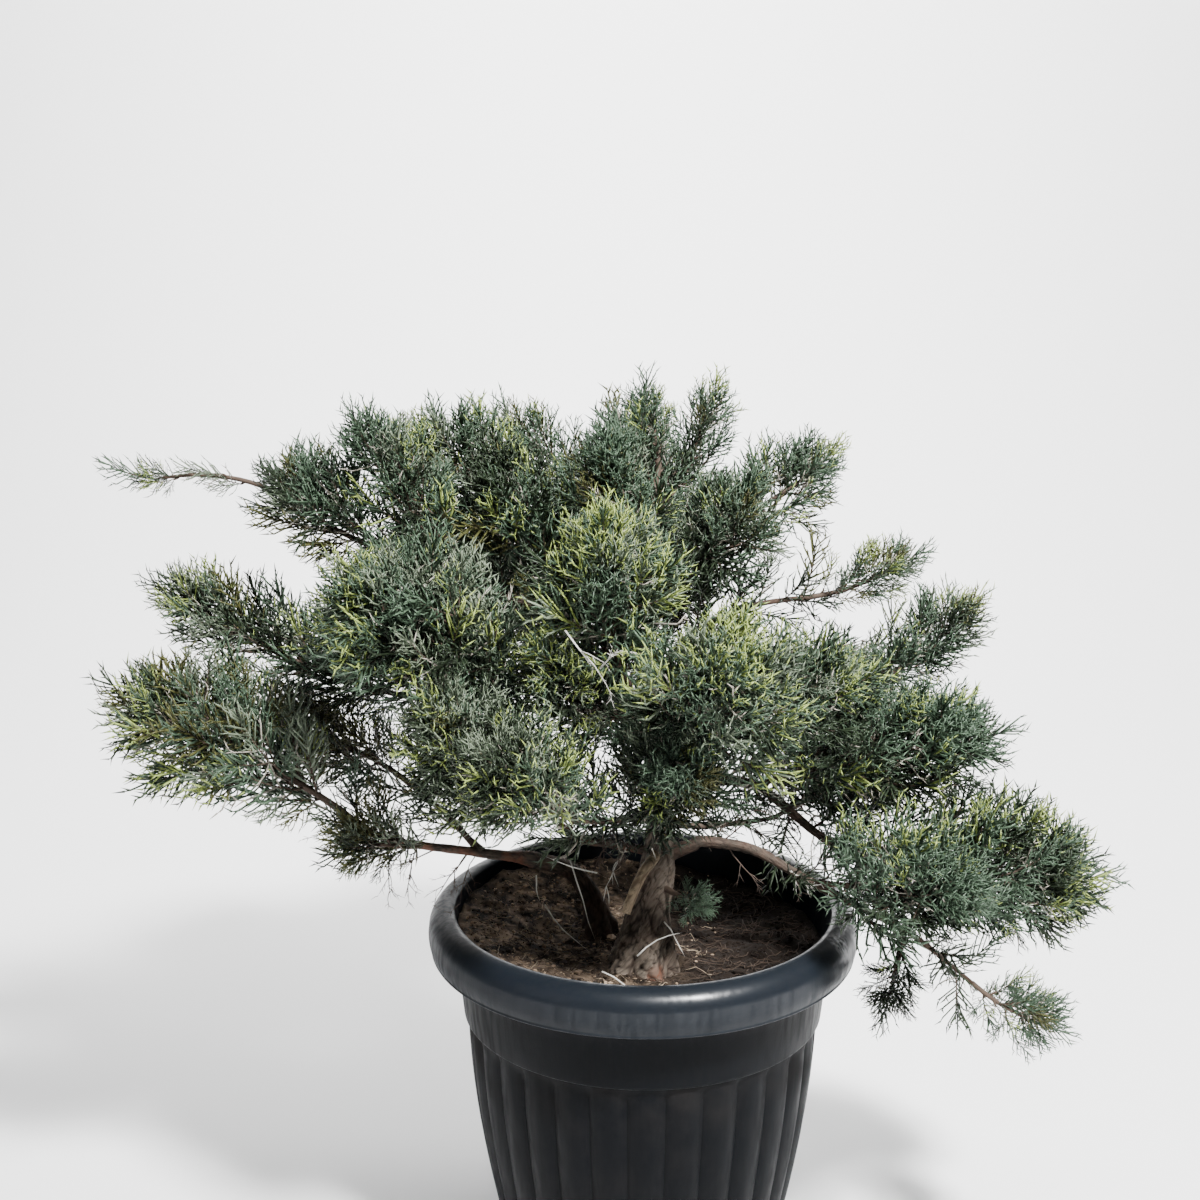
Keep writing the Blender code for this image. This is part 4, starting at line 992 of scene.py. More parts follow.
class Growth:
    """The twigs and plumes of one mass, by a seeded rule. What leaves the mass's space is skipped."""

    def __init__(self, mass, settings, stretches):
        self.mass = mass
        self.settings = settings
        self.stretches = stretches
        self.rng = random.Random("fine " + mass.name)
        self.stem = mass.stem(12)
        self.scale = min(PLUME_SIZES[1], max(PLUME_SIZES[0], mass.radius / FULL_SIZE_RADIUS))
        self.twigs = [(self.stem, mass.stem_radius, STEM_TIP_RADIUS)]
        self.plumes = []
        self.turn = self.rng.uniform(0, math.tau)
        self.grow_twigs()
        self.grow_tip()

    def fits(self, root, tip, size):
        """Whether a plume keeps to its mass's space, and clear of the pot and the limbs."""
        low, high = CAD_BOX
        lowest, highest = LEVELS.get(self.mass.name, (-1.0, 1.0))
        middle = root.lerp(tip, 0.6)
        boxed = all(low[axis] - BOX_MARGIN < tip[axis] < high[axis] + BOX_MARGIN for axis in range(3))
        return (boxed and self.mass.holds(tip) and lowest < tip.z - RIM_HEIGHT < highest
                and self.mass.room(tip) > -TIP_OVERLAP and self.mass.room(middle) > -MIDDLE_OVERLAP
                and clear_of_pot(tip, 0.006) and clear_of_pot(middle, 0.012)
                and clear_of_limbs(root.lerp(tip, 0.25), tip, 0.006 * size, self.stretches))

    def add_plume(self, root, heading, size, outer):
        """Add a plume at the greatest size that fits, if any does."""
        length = (self.settings.plume_length + 0.5 * self.settings.strand_length) * size
        for shrink in SHRINKS:
            if self.fits(root, root + heading * length * shrink, size):
                self.plumes.append((root, heading, size * shrink, outer))
                return True
        return False

    def grow_twigs(self):
        """Twigs round the stem, each with side plumes and one at its end."""
        mass = self.mass
        rng = self.rng
        full = FULLNESS.get(mass.name, 1.0)
        count = round(full * max(MIN_TWIGS * mass.radius, self.settings.twigs * mass.length * mass.radius))
        for number in range(count):
            share = 0.10 + 0.86 * (number + rng.uniform(0.2, 0.8)) / count
            base, forward = point_at(self.stem, 1 + share * (len(self.stem) - 2))
            self.turn += GOLDEN_ANGLE
            lean = math.radians(TWIG_LEAN[0] - TWIG_LEAN[1] * share)
            heading = forward * math.cos(lean) + across_of(forward, self.turn) * math.sin(lean)
            heading = (heading + UP * TWIG_LIFT).normalized()
            tuft = noise.noise((base + heading * mass.reach(share)) * TUFT_RATE)
            reach = mass.reach(share) * min(1.10, rng.uniform(0.88, 1.06) + TUFT_DEPTH * tuft)
            length = max(0.010, reach * 1.05 - self.settings.plume_length * self.scale * PLUME_REACH)
            rise = (heading + forward * 0.4 + UP * TWIG_RISE).normalized()
            line = [base, base + heading * length * 0.4]
            line.append(line[-1] + heading.lerp(rise, 0.5).normalized() * length * 0.3)
            line.append(line[-1] + rise * length * 0.3)
            if mass.room(line[-1]) < 0.002 or not clear_of_pot(line[-1], 0.01):
                line = [base.lerp(point, 0.55) for point in line]
            if clear_of_limbs(line[1], line[-1], 0.003, self.stretches):
                self.grow_plumes(line, rise, length)

    def grow_plumes(self, line, rise, length):
        """Plumes at the end and along the sides of a twig, which is kept if it carries any."""
        rng = self.rng
        got = self.add_plume(line[-1], rise, self.scale * rng.uniform(0.9, 1.1), True)
        spin = rng.uniform(0, math.tau)
        steps = max(2, round(length / PLUME_SPACING))
        for step in range(steps):
            at = 0.25 + 0.70 * (step + 0.5) / steps
            root, ahead = point_at(line, at * 3)
            spin += GOLDEN_ANGLE
            heading = (ahead * 0.66 + across_of(ahead, spin) * 0.76 + UP * 0.10).normalized()
            got = self.add_plume(root, heading, self.scale * rng.uniform(0.72, 0.98), at > 0.6) or got
        if got:
            self.twigs.append((line, *TWIG_RADII))

    def grow_tip(self):
        """Plumes at the stem's end."""
        ahead = self.mass.tip - self.stem[-1]
        forward = ahead.normalized()
        size = min(PLUME_SIZES[1], ahead.length / self.settings.plume_length)
        self.add_plume(self.stem[-1], forward, size, True)
        for number in range(5):
            self.turn += GOLDEN_ANGLE
            root = self.stem[-1].lerp(self.stem[-3], number / 5)
            heading = (forward * 0.80 + across_of(forward, self.turn) * 0.55 + UP * 0.12).normalized()
            self.add_plume(root, heading, self.scale * self.rng.uniform(0.75, 1.0), True)


def sprigs(limb, settings):
    """Short plumes that leave a limb's bark, where it runs under the foliage."""
    rng = random.Random("sprigs " + limb.name)
    found = []
    length = runs_of(limb.points)[-1]
    bare = BARE_SHARE.get(limb.name, 0.10)
    turn = rng.uniform(0, math.tau)
    for number in range(round(length / SPRIG_SPACING)):
        at = (number + rng.random()) * SPRIG_SPACING / length
        if bare < at < 0.98:
            position = at * (len(limb.points) - 1)
            base, along = point_at(limb.points, position)
            turn += GOLDEN_ANGLE
            out = across_of(along, turn)
            heading = (out * 0.75 + along * 0.5 + UP * 0.30).normalized()
            root = base + out * limb.radii[int(position)] * 0.6
            size = rng.uniform(0.65, 1.00)
            if out.z > -0.2:
                size *= SPRIG_SIZE.get(limb.name, 1.0)
            if clear_of_pot(root + heading * settings.plume_length * size, 0.02):
                found.append((root, heading, size, False))
    return found


def tone_of(rng, mass, root, heading, outer):
    """Which colour a plume's old strands have: paler outside, on top and on tufts as painted light, deeper
    elsewhere, inside the mass and in the gaps between tufts, as painted shade.
    """
    _, grey, olive = mass.tones
    patch = 0.5 + 0.6 * noise.noise(root * TUFT_RATE)
    # Painted light and shade: plumes that face up or sit outside lean to the paler tones, inner plumes and
    # those between tufts to the deep green.
    upper = 0.16 * heading.z + (0.10 if outer else -0.14)
    draw = rng.random()
    if draw < olive * (0.6 if outer else 1.2):
        return "olive"
    if draw < olive + grey * (0.7 + 2.5 * upper):
        return "grey_green"
    return "blue_green" if patch + upper > 0.49 else "deep_green"


def is_lit(rng, mass, root, heading, outer):
    """Whether a plume shows young tips, whose pale yellow-green is partly their own colour and partly painted
    light: in patches on the outside of its mass, most on top.
    """
    patch = 0.5 - 0.9 * noise.noise(root * 2 * TUFT_RATE)
    return outer and patch < mass.tones[0] * (0.85 + 0.35 * heading.z) + rng.uniform(-0.08, 0.08)


CROWN_SEED = 7
PIECE_LIMIT = 190000            # triangles of one joined piece


class Kind:
    """The joined pieces of one colour, each under the limit of triangles."""

    def __init__(self, name, paint, slot):
        self.name = name
        self.paint = paint
        self.slot = slot
        self.heaps = [Heap()]

    def add(self, points, faces):
        """Add a small shape, to a new heap where the last one is full."""
        if self.heaps[-1].triangles + len(faces) > PIECE_LIMIT:
            self.heaps.append(Heap())
        self.heaps[-1].add(points, faces)

    def pieces(self, nodes):
        """Make the joined pieces, which stand for the nodes."""
        for number, heap in enumerate(self.heaps):
            if heap.triangles:
                name = self.name if len(self.heaps) == 1 else f"{self.name}_{number + 1}"
                finish_piece(heap.piece(name, self.paint), nodes)


def turned_to(heading, rng):
    """A turn that lays +Z along the heading and +X as far up as it goes, a little off."""
    side = UP - heading * UP.dot(heading)
    if side.length < 0.05:
        side = across_of(heading, rng.uniform(0, math.tau))
    side.normalize()
    side = Matrix.Rotation(rng.uniform(-0.5, 0.5), 3, heading) @ side
    return np.array((side, heading.cross(side), heading)).T


def bare_twig(rng, heap, start, heading, length, radius, level):
    """A dry forked twig."""
    line = [start]
    for _ in range(4):
        wobble = Vector((rng.uniform(-1, 1), rng.uniform(-1, 1), rng.uniform(-1, 1)))
        heading = (heading + wobble * 0.22 - UP * 0.05).normalized()
        line.append(line[-1] + heading * length / 4)
    heap.add(*spike(line, [radius, radius * 0.85, radius * 0.7, radius * 0.5], 4 if level == 2 else 3))
    if level == 0:
        return
    for _ in range(rng.randint(3, 5)):
        root, along = point_at(line, rng.uniform(0.25, 0.95) * NEARLY_ALL * 4)
        side = across_of(along, rng.uniform(0, math.tau))
        fork = (along * 0.75 + side * 0.65).normalized()
        bare_twig(rng, heap, root, fork, length * rng.uniform(0.28, 0.45), radius * 0.62, level - 1)


# ---------------------------------------------------------------- operators

BODY_TOP = 0.131                # depths of the fluted body's ends below the crest of the rim
BODY_END = RIM_HEIGHT - 0.028
ROLL_RADIUS = 0.227             # radius of the pot at the crest of its rolled rim
ROLL_OUTSIDE = (0.023, 0.0245)  # width and depth of the roll outside its crest
ROLL_INSIDE = (0.012, 0.016)    # and inside it
FLOOR_THICKNESS = 0.010
FADE_LENGTH = 0.012             # the flutes fade out over this length at the body's ends
MERGE_DISTANCE = 0.00002

# The wall's inside under the roll, as (radius, depth below the crest)
INSIDE = ((0.2193, 0.0060), (0.2175, 0.0130), (0.2160, 0.0300), (0.2110, 0.0560))

# The lip of the roll and the plain band, as (radius, depth below the crest)
LIP_AND_BAND = (
    (0.2505, 0.0285), (0.2504, 0.0330), (0.2498, 0.0375), (0.2488, 0.0420), (0.2474, 0.0460),
    (0.2470, 0.0472), (0.2473, 0.0480), (0.2474, 0.0490), (0.2468, 0.0500), (0.2450, 0.0506),
    (0.2215, 0.0512), (0.2190, 0.0520), (0.2178, 0.0540), (0.2153, 0.0790), (0.2130, 0.1040),
    (0.2108, 0.1250), (0.2104, 0.1272), (0.2096, 0.1284), (0.2068, 0.1292), (0.2058, 0.1302))

# The foot ring and the underside, as (radius, height)
FOOT = ((0.1712, 0.0262), (0.1728, 0.0252), (0.1732, 0.0235), (0.1728, 0.004), (0.1720, 0.001),
        (0.1705, 0.0), (0.0, 0.0))


def body_radius(depth):
    """Outer radius of the pot's fluted body, at its lobes."""
    share = (depth - BODY_TOP) / (BODY_END - BODY_TOP)
    return 0.2055 - 0.0355 * max(share, 0.0) ** 1.7


def pot_outline(settings):
    """The outline from the middle of the floor over the rim to the middle of the underside."""
    thick = settings.flute_depth + settings.wall
    floor = RIM_HEIGHT - FLOOR_THICKNESS
    middle = (BODY_TOP + BODY_END) / 2
    outline = [(0.0, floor), (body_radius(BODY_END) - thick, floor), (body_radius(middle) - thick, middle),
               (body_radius(BODY_TOP) - thick, BODY_TOP), *INSIDE[::-1]]
    for step in range(19):
        turn = math.radians(-40 + 130 * step / 18)
        wide, deep = ROLL_OUTSIDE if turn > 0 else ROLL_INSIDE
        outline.append((ROLL_RADIUS + wide * math.sin(turn), deep * (1 - math.cos(turn))))
    outline += LIP_AND_BAND
    for step in range(41):
        depth = BODY_TOP + (BODY_END - BODY_TOP) * step / 40
        outline.append((body_radius(depth), depth))
    outline += [(radius, RIM_HEIGHT - height) for radius, height in FOOT]
    return [(radius, 0.0, RIM_HEIGHT - depth) for radius, depth in outline]


def cut_flutes(mesh, settings):
    """Press the valleys between the lobes into the outside of the body."""
    for vert in mesh.vertices:
        radius = math.hypot(vert.co.x, vert.co.y)
        depth = RIM_HEIGHT - vert.co.z
        if BODY_TOP < depth < BODY_END and abs(radius - body_radius(depth)) < 0.0004:
            lobe = abs(math.cos(settings.flutes / 2 * math.atan2(vert.co.x, -vert.co.y))) ** 0.75
            fade = min(1.0, (depth - BODY_TOP) / FADE_LENGTH, (BODY_END - depth) / FADE_LENGTH)
            cut = settings.flute_depth * (1 - lobe) * fade ** 0.6
            vert.co.x *= 1 - cut / radius
            vert.co.y *= 1 - cut / radius


class CONIFER_OT_pot(bpy.types.Operator):
    """Turn the moulded pot: rolled rim, plain band, convex flutes and foot ring"""
    bl_idname = "conifer.pot"
    bl_label = "Pot"

    def execute(self, context):
        settings = context.scene.conifer_pot
        bpy.ops.object.select_all(action="DESELECT")
        mesh = bpy.data.meshes.new("pot_moulding")
        points = pot_outline(settings)
        mesh.from_pydata(points, [(index, index + 1) for index in range(len(points) - 1)], [])
        made = new_object("pot_moulding", mesh)
        context.view_layer.objects.active = made
        made.select_set(True)
        bpy.ops.object.mode_set(mode="EDIT")
        bpy.ops.mesh.select_all(action="SELECT")
        bpy.ops.mesh.spin(steps=settings.flutes * 12, angle=math.tau, center=(0, 0, 0), axis=(0, 0, 1))
        bpy.ops.mesh.select_all(action="SELECT")
        bpy.ops.mesh.remove_doubles(threshold=MERGE_DISTANCE)
        bpy.ops.mesh.normals_make_consistent(inside=False)
        bpy.ops.object.mode_set(mode="OBJECT")
        cut_flutes(mesh, settings)
        mesh.shade_smooth()
        mesh.set_sharp_from_angle(angle=math.radians(50))
        mesh.materials.append(plastic_material(settings))
        finish_piece(made, ["pot"])
        return {"FINISHED"}


SOIL_SEED = 31
SOIL_SECTORS = 260
SOIL_ROWS = 84
SOIL_RADIUS = 0.2135
BED_DEPTH = 0.10                # how far the bed's sides reach below the crest of the rim


def soil_height(x, y, settings):
    """Height of the soil's surface: a bank on the left, a hollow behind, a mound in front, lumps all over."""
    radius = math.hypot(x, y)
    bank = settings.bank * (0.5 - 0.5 * x / max(radius, 0.02)) * min(1.0, max(0.0, (radius - 0.10) / 0.10))
    spot = Vector((x, y, 0.0))
    lumps = noise.fractal(spot / 0.050, 0.9, 2.1, 4) * 0.0060 + abs(noise.noise(spot / 0.009)) * 0.0040
    hollow = -0.010 * math.exp(-((x - 0.08) ** 2 + (y - 0.10) ** 2) / 0.010)
    mound = 0.008 * math.exp(-((x + 0.02) ** 2 + (y + 0.08) ** 2) / 0.004)
    return RIM_HEIGHT - SOIL_DEPTH - 0.004 + bank + lumps + hollow + mound


def round_spot(rng, limit):
    """A random spot inside a circle about the pot's axis."""
    radius = limit * math.sqrt(rng.random())
    turn = rng.uniform(0, math.tau)
    return radius * math.cos(turn), radius * math.sin(turn)


def soil_bed(settings, paint):
    """The closed bed of soil with its uneven surface."""
    mesh = bpy.data.meshes.new("soil_surface")
    made = new_object("soil_surface", mesh)
    bm = bmesh.new()
    centre = bm.verts.new((0.0, 0.0, soil_height(0.0, 0.0, settings)))
    rings = []
    for row in range(1, SOIL_ROWS + 1):
        ring = []
        for number in range(SOIL_SECTORS):
            turn = math.tau * number / SOIL_SECTORS
            radius = (SOIL_RADIUS - 0.0025 * math.cos(turn)) * row / SOIL_ROWS
            x = radius * math.cos(turn)
            y = radius * math.sin(turn)
            ring.append(bm.verts.new((x, y, soil_height(x, y, settings))))
        rings.append(ring)
    rings.append([bm.verts.new((v.co.x * 0.93, v.co.y * 0.93, RIM_HEIGHT - BED_DEPTH)) for v in rings[-1]])
    for number in range(SOIL_SECTORS):
        after = (number + 1) % SOIL_SECTORS
        bm.faces.new((centre, rings[0][number], rings[0][after]))
        for near, far in zip(rings, rings[1:]):
            bm.faces.new((near[number], far[number], far[after], near[after]))
    bm.faces.new(rings[-1][::-1])
    bmesh.ops.recalc_face_normals(bm, faces=bm.faces)
    bm.to_mesh(mesh)
    bm.free()
    mesh.shade_smooth()
    mesh.materials.append(paint)
    finish_piece(made, ["soil"])


def soil_crumbs(rng, settings, paint):
    """Loose lumps on the surface; the pale dry ones lie mostly on the left, which keeps the right dark as
    painted shade.
    """
    crumb = bmesh.new()
    bmesh.ops.create_icosphere(crumb, subdivisions=1, radius=1.0)
    faces = np.array([[vert.index for vert in face.verts] for face in crumb.faces])
    ball = np.array([tuple(vert.co) for vert in crumb.verts])
    crumb.free()
    damp = Heap()
    dry = Heap()
    for _ in range(settings.crumbs):
        x, y = round_spot(rng, 0.206)
        size = 0.0013 * math.exp(rng.gauss(0, 0.5))
        rough = np.array([rng.uniform(0.65, 1.25) for _ in ball])[:, None]
        squash = np.array([rng.uniform(0.7, 1.3), rng.uniform(0.7, 1.3), rng.uniform(0.5, 0.9)])
        spot = np.array((x, y, soil_height(x, y, settings) + size * 0.25))
        # Pale dry crumbs go mostly to the left, so the right stays dark as painted shade of the crown.
        heap = dry if x < rng.uniform(-0.10, 0.10) and rng.random() < 0.40 else damp
        heap.add(ball * rough * squash * size + spot, faces)
    pale_soil = strand_material("soil_dry", (0.230, 0.165, 0.112), 0.9)
    finish_piece(damp.piece("soil_crumbs", paint, smooth=False), ["soil"])
    finish_piece(dry.piece("soil_dry_crumbs", pale_soil, smooth=False), ["soil"])


def soil_fibres(rng, settings):
    """Dry roots and twigs that lie on the surface; the pale ones lie mostly on the left, which keeps the
    right dark as painted shade.
    """
    roots = Heap()
    litter = Heap()
    for number in range(settings.fibres):
        x, y = round_spot(rng, 0.195)
        heading = rng.uniform(0, math.tau)
        length = rng.uniform(0.010, 0.042)
        line = []
        for _ in range(6):
            heading += rng.uniform(-0.5, 0.5)
            x += math.cos(heading) * length / 5
            y += math.sin(heading) * length / 5
            if math.hypot(x, y) > 0.203:
                break
            lift = 0.0012 + rng.uniform(0.0, 0.0035)
            line.append(Vector((x, y, soil_height(x, y, settings) + lift)))
        if len(line) < 3:
            continue
        thick = rng.uniform(0.0003, 0.0007)
        # Pale roots go mostly to the left, so the right stays dark as painted shade of the crown.
        heap = roots if number % 4 == 0 and x < rng.uniform(-0.05, 0.12) else litter
        heap.add(*spike(line, [thick * (1 - 0.1 * step) for step in range(len(line))], 4))
    pale = strand_material("dry_root", (0.260, 0.205, 0.145), 0.85)
    brown = strand_material("dry_scale", (0.036, 0.023, 0.015), 0.85)
    finish_piece(roots.piece("soil_roots", pale), ["soil"])
    finish_piece(litter.piece("soil_litter", brown), ["soil"])


class CONIFER_OT_soil(bpy.types.Operator):
    """Fill the pot with loose soil, crumbs and dry roots"""
    bl_idname = "conifer.soil"
    bl_label = "Soil"

    def execute(self, context):
        settings = context.scene.conifer_soil
        paint = soil_material(settings)
        soil_bed(settings, paint)
        rng = random.Random(SOIL_SEED)
        soil_crumbs(rng, settings, paint)
        soil_fibres(rng, settings)
        return {"FINISHED"}


class CONIFER_OT_limbs(bpy.types.Operator):
    """Grow the trunk, the second stem and the boughs again with bark relief"""
    bl_idname = "conifer.limbs"
    bl_label = "Trunk and boughs"

    def execute(self, context):
        settings = context.scene.conifer_plant
        grey = bark_material("bark_flaky", settings.bark_dark, settings.bark_light, 0.08,
                             split=(0.013, -0.132, RIM_HEIGHT - 0.034))
        dull = bark_material("bark_bough", settings.bark_dark, settings.bough_bark, 0.15)
        red = bark_material("bark_reddish", settings.bark_dark, settings.bough_bark, 0.60)
        pale = bark_material("wood_bare", (0.110, 0.080, 0.052), (0.330, 0.255, 0.170))
        # Sides round the limb, spacing of its rings and its bark
        finishes = {"trunk": (96, 0.0018, grey), "stem_left": (40, 0.0022, dull),
                    "bough_cut": (28, 0.0016, pale), "bough_left_low": (28, 0.0022, red),
                    "bough_front_left": (28, 0.0022, red)}
        for name, limb in lay_out_limbs().items():
            bark_piece(limb, *finishes.get(name, (24, 0.0022, dull)))
        return {"FINISHED"}


def stretches_of(limbs):
    """Straight stretches along all limbs, each with its greatest radius."""
    stretches = []
    for limb in limbs.values():
        coarse = list(zip(limb.points, limb.radii))[::4] + [(limb.points[-1], limb.radii[-1])]
        for (a, ra), (b, rb) in zip(coarse, coarse[1:]):
            if (b - a).length > 0:
                stretches.append((a, b, max(ra, rb)))
    return stretches


def foliage_kinds(settings):
    """The colours of foliage and twigs, and what each is called."""
    kinds = {}
    for tone in ("blue_green", "deep_green", "grey_green", "olive", "young"):
        paint = strand_material("leaf_" + tone, getattr(settings, tone), LEAF_ROUGHNESS)
        young = tone == "young"
        name = "foliage_young_tips" if young else "foliage_" + tone
        kinds[tone] = Kind(name, paint, "young_foliage" if young else "foliage")
    straw = strand_material("strand_dry", (0.300, 0.275, 0.230), DRY_ROUGHNESS)
    kinds["dry"] = Kind("strands_dry", straw, "dead_wood")
    brown = strand_material("twig_bark", (0.060, 0.040, 0.028), DRY_ROUGHNESS)
    kinds["twig"] = Kind("twigs_brown", brown, "bark")
    return kinds


class CONIFER_OT_foliage(bpy.types.Operator):
    """Grow each mass of foliage again: twigs on its stem and plumes of strands on its twigs"""
    bl_idname = "conifer.foliage"
    bl_label = "Foliage"

    def execute(self, context):
        settings = context.scene.conifer_plant
        limbs = lay_out_limbs()
        masses = lay_out_masses(limbs)
        stretches = stretches_of(limbs)
        shapes = [{kind: heap.arrays() for kind, heap in plume_shapes(settings, seed).items() if heap.count}
                  for seed in range(PLUME_SHAPES)]
        kinds = foliage_kinds(settings)
        rng = random.Random(CROWN_SEED)
        covered = set()
        for mass in masses:
            growth = Growth(mass, settings, stretches)
            plumes = growth.plumes
            if mass.limb not in covered:
                covered.add(mass.limb)
                plumes += sprigs(limbs[mass.limb], settings)
            for number, (line, first, last) in enumerate(growth.twigs):
                steps = len(line) - 1
                radii = [first + (last - first) * step / steps for step in range(steps)]
                kinds["twig"].add(*spike(line, radii, 7 if number == 0 else 4))
            for root, heading, size, outer in plumes:
                turn = turned_to(heading, rng)
                tone = tone_of(rng, mass, root, heading, outer)
                lit = is_lit(rng, mass, root, heading, outer)
                # Painted light: the young colour shows on a plume's young tips only where the plume is picked
                # as lit.
                paints = {"old": tone, "young": "young" if lit else tone, "dry": "dry", "wood": "twig"}
                for kind, (points, faces) in shapes[rng.randrange(len(shapes))].items():
                    kinds[paints[kind]].add(points * size @ turn.T + np.array(root), faces)
        nodes = ["foliage_" + mass.name for mass in masses]
        for kind in kinds.values():
            kind.pieces(nodes)
        return {"FINISHED"}


# Dry twigs: root and end of each as (right, back, height above the rim's crest), its colour and
# how often it forks
DRY_TWIGS = (
    ((-0.085, -0.220, 0.380), (-0.035, -0.240, 0.307), "silver", 2),
    ((-0.050, -0.235, 0.345), (-0.020, -0.250, 0.372), "silver", 2),
    ((-0.053, -0.110, 0.079), (-0.113, -0.100, 0.082), "silver", 0),
    ((-0.083, -0.080, 0.082), (-0.064, -0.140, 0.012), "silver", 0),
    ((-0.020, -0.090, 0.102), (-0.045, -0.120, 0.063), "silver", 1),
    ((-0.010, -0.170, 0.008), (0.030, -0.140, 0.034), "silver", 0),
    ((0.020, -0.130, 0.030), (0.052, -0.150, 0.004), "silver", 0),
    ((-0.048, -0.170, -0.010), (0.004, -0.195, -0.022), "silver", 0),
    ((-0.112, -0.080, 0.029), (-0.077, -0.140, -0.012), "silver", 0),
    ((-0.122, -0.060, 0.056), (-0.120, -0.064, 0.026), "silver", 0),
    ((-0.257, -0.070, 0.090), (-0.274, -0.080, 0.035), "red", 2),
    ((-0.280, -0.072, 0.100), (-0.300, -0.090, 0.040), "red", 2),
)
DRY_SEED = 19
DRY_SPACING = 0.030             # between the small dry twigs of a limb
CLEAN_TRUNK = 0.12              # the trunk has none up to this height above the rim's crest
SILVER_ODDS = 0.16


def limb_twigs(rng, limb, heaps):
    """Small dry twigs along a limb."""
    for _ in range(round(runs_of(limb.points)[-1] / DRY_SPACING)):
        index = int(rng.uniform(0.30, 0.98) * (len(limb.points) - 1))
        spot = limb.points[index]
        along = (limb.points[index + 1] - limb.points[index - 1]).normalized()
        side = across_of(along, rng.uniform(0, math.tau))
        heading = (along * 0.55 + side * 0.8 - UP * 0.12).normalized()
        size = rng.uniform(0.030, 0.075)
        if limb.name == "trunk" and spot.z < RIM_HEIGHT + CLEAN_TRUNK:
            continue
        if clear_of_pot(spot + heading * size, 0.01):
            heap = heaps["silver" if rng.random() < SILVER_ODDS else "red"]
            bare_twig(rng, heap, spot, heading, size, 0.0010, 2)


class CONIFER_OT_dry_twigs(bpy.types.Operator):
    """Add the bare dry twigs under the boughs and in the crown"""
    bl_idname = "conifer.dry_twigs"
    bl_label = "Dry twigs"

    def execute(self, context):
        rng = random.Random(DRY_SEED)
        heaps = {"silver": Heap(), "red": Heap()}
        for start, end, colour, level in DRY_TWIGS:
            run = place(end) - place(start)
            bare_twig(rng, heaps[colour], place(start), run.normalized(), run.length, 0.0011, level)
        for name, limb in lay_out_limbs().items():
            if name not in ("bough_cut", "stem_left"):
                limb_twigs(rng, limb, heaps)
        white = strand_material("twig_silver", (0.480, 0.465, 0.425), DRY_ROUGHNESS)
        brown = strand_material("twig_dry", (0.052, 0.036, 0.027), DRY_ROUGHNESS)
        finish_piece(heaps["silver"].piece("twigs_silver", white), [])
        finish_piece(heaps["red"].piece("twigs_dry", brown), [])
        return {"FINISHED"}


FLOOR_SIZE = 8.0
BACKDROP_HEIGHT = 5.0
SWEEP_RADIUS = 2.0              # of the bend from the floor to the backdrop
LIGHT_AIM = Vector((0.0, 0.0, 0.6))
BACKDROP_AIM = Vector((0.0, 4.0, 1.6))
SKY_COLOUR = (0.93, 0.96, 1.0, 1.0)
LENS = 51.0                     # millimetres, for a picture 36 mm wide
CAMERA_SPOT = (-0.050, -1.866, RIM_HEIGHT + 0.782)
CAMERA_TILT = 77.3              # degrees up from straight down


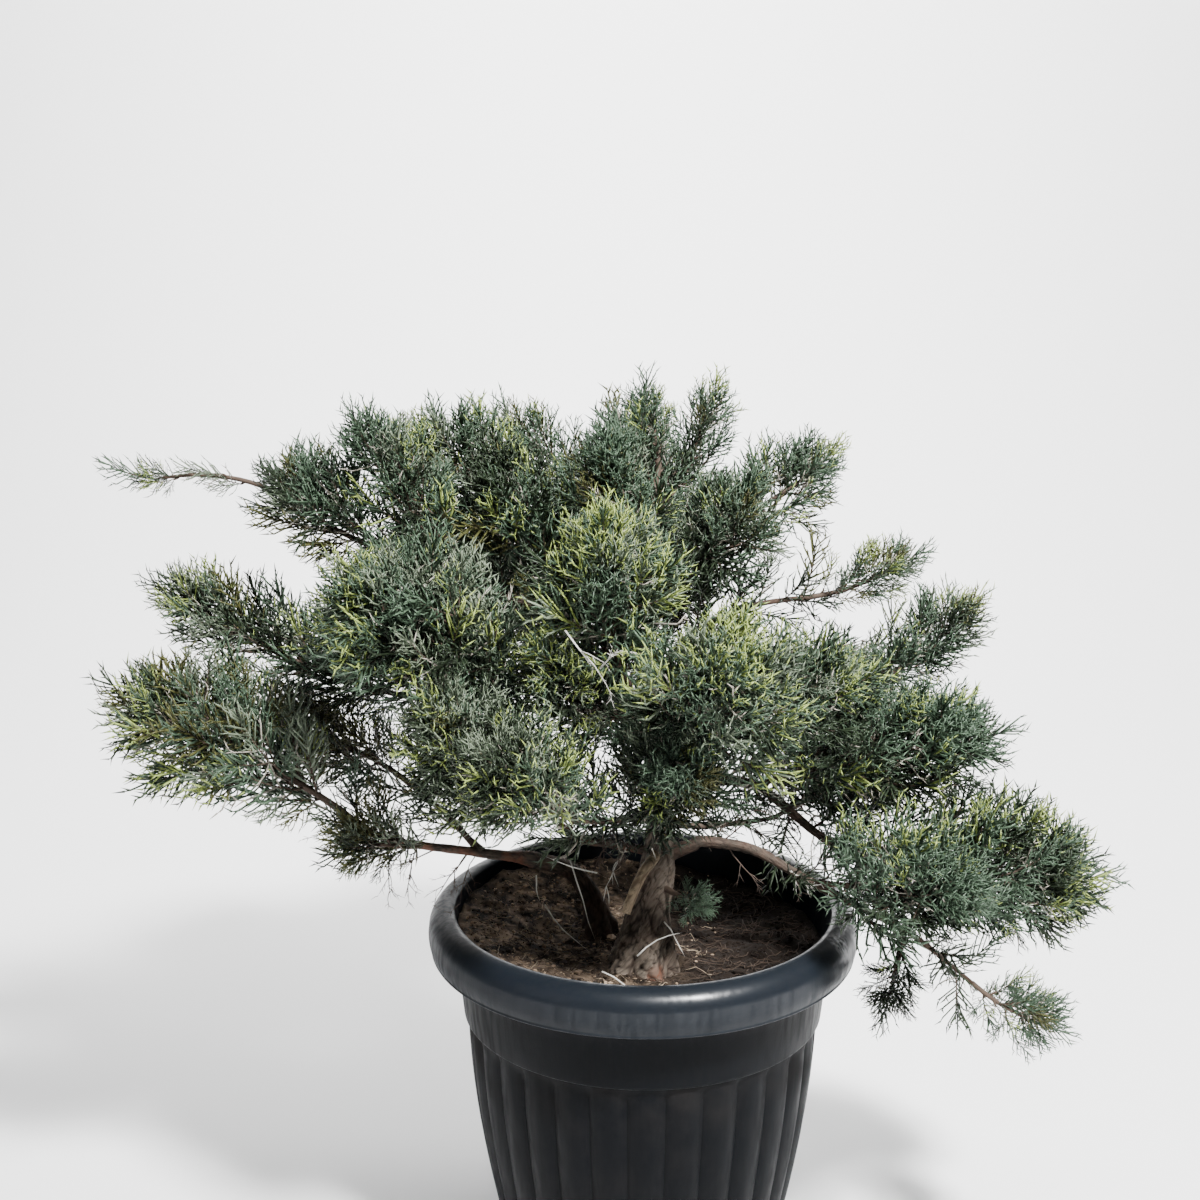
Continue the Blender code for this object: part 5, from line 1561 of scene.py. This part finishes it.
class CONIFER_OT_stage(bpy.types.Operator):
    """Set the pale floor and backdrop, the soft lights and the camera"""
    bl_idname = "conifer.stage"
    bl_label = "Stage"

    def execute(self, context):
        settings = context.scene.conifer_stage
        bpy.ops.object.select_all(action="DESELECT")
        bpy.ops.mesh.primitive_plane_add(size=FLOOR_SIZE, location=(0.0, 0.0, 0.0))
        floor = context.object
        floor.name = "floor_sweep"
        rear = FLOOR_SIZE / 2 - 0.1
        bpy.ops.object.mode_set(mode="EDIT")
        bm = bmesh.from_edit_mesh(floor.data)
        for edge in bm.edges:
            edge.select_set(all(vert.co.y > rear for vert in edge.verts))
        bm.select_flush_mode()
        bmesh.update_edit_mesh(floor.data)
        bpy.ops.mesh.extrude_region_move(TRANSFORM_OT_translate={"value": (0.0, 0.0, BACKDROP_HEIGHT)})
        bm = bmesh.from_edit_mesh(floor.data)
        bm.select_mode = {"EDGE"}
        for edge in bm.edges:
            edge.select_set(all(vert.co.y > rear and vert.co.z < 0.1 for vert in edge.verts))
        bmesh.update_edit_mesh(floor.data)
        bpy.ops.mesh.bevel(offset=SWEEP_RADIUS, segments=16)
        bpy.ops.object.mode_set(mode="OBJECT")
        floor.data.shade_smooth()
        paint, _, shader = plain_material("floor_pale", 0.9, 0.1)
        shader.inputs["Base Color"].default_value = (*settings.floor, 1.0)
        floor.data.materials.append(paint)

        for name, spot, aim, size, power in (
                ("key", (1.22, -1.78, 3.38), LIGHT_AIM, 0.45, settings.key),
                ("fill", (-2.4, -1.8, 1.9), LIGHT_AIM, 2.2, settings.fill),
                ("backdrop", (0.0, 1.5, 3.4), BACKDROP_AIM, 2.4, settings.backdrop)):
            light = bpy.data.lights.new(name, "AREA")
            light.shape = "SQUARE"
            light.size = size
            light.energy = power
            lamp = new_object(name, light)
            lamp.location = spot
            lamp.rotation_euler = (aim - Vector(spot)).to_track_quat("-Z", "Y").to_euler()
        world = bpy.data.worlds.new("even_sky")
        world.use_nodes = True
        world.node_tree.nodes["Background"].inputs["Color"].default_value = SKY_COLOUR
        world.node_tree.nodes["Background"].inputs["Strength"].default_value = settings.sky
        context.scene.world = world

        lens = bpy.data.cameras.new("view")
        lens.lens = LENS
        lens.sensor_width = 36.0
        camera = new_object("view", lens)
        camera.location = CAMERA_SPOT
        camera.rotation_euler = (math.radians(CAMERA_TILT), 0.0, 0.0)
        context.scene.camera = camera
        return {"FINISHED"}


class CONIFER_PT_panel(bpy.types.Panel):
    """Buttons that build the potted conifer"""
    bl_idname = "CONIFER_PT_panel"
    bl_label = "Potted conifer"
    bl_space_type = "VIEW_3D"
    bl_region_type = "UI"
    bl_category = "Conifer"

    def draw(self, context):
        for name, kind in SETTINGS.items():
            for key in kind.__annotations__:
                self.layout.prop(getattr(context.scene, name), key)
        for operator in OPERATORS:
            self.layout.operator(operator.bl_idname)


OPERATORS = (CONIFER_OT_pot, CONIFER_OT_soil, CONIFER_OT_limbs, CONIFER_OT_foliage, CONIFER_OT_dry_twigs,
             CONIFER_OT_stage)
SETTINGS = {"conifer_pot": PotSettings, "conifer_soil": SoilSettings, "conifer_plant": PlantSettings,
            "conifer_stage": StageSettings}


def register():
    for settings in SETTINGS.values():
        bpy.utils.register_class(settings)
    for name, settings in SETTINGS.items():
        setattr(bpy.types.Scene, name, PointerProperty(type=settings))
    for shown in (*OPERATORS, CONIFER_PT_panel):
        bpy.utils.register_class(shown)


def unregister():
    for shown in (CONIFER_PT_panel, *OPERATORS[::-1]):
        bpy.utils.unregister_class(shown)
    for name in SETTINGS:
        delattr(bpy.types.Scene, name)
    for settings in SETTINGS.values():
        bpy.utils.unregister_class(settings)


def main():
    register()
    bpy.ops.conifer.pot()
    bpy.ops.conifer.soil()
    bpy.ops.conifer.limbs()
    bpy.ops.conifer.foliage()
    bpy.ops.conifer.dry_twigs()
    bpy.ops.conifer.stage()


if __name__ == "__main__":
    main()
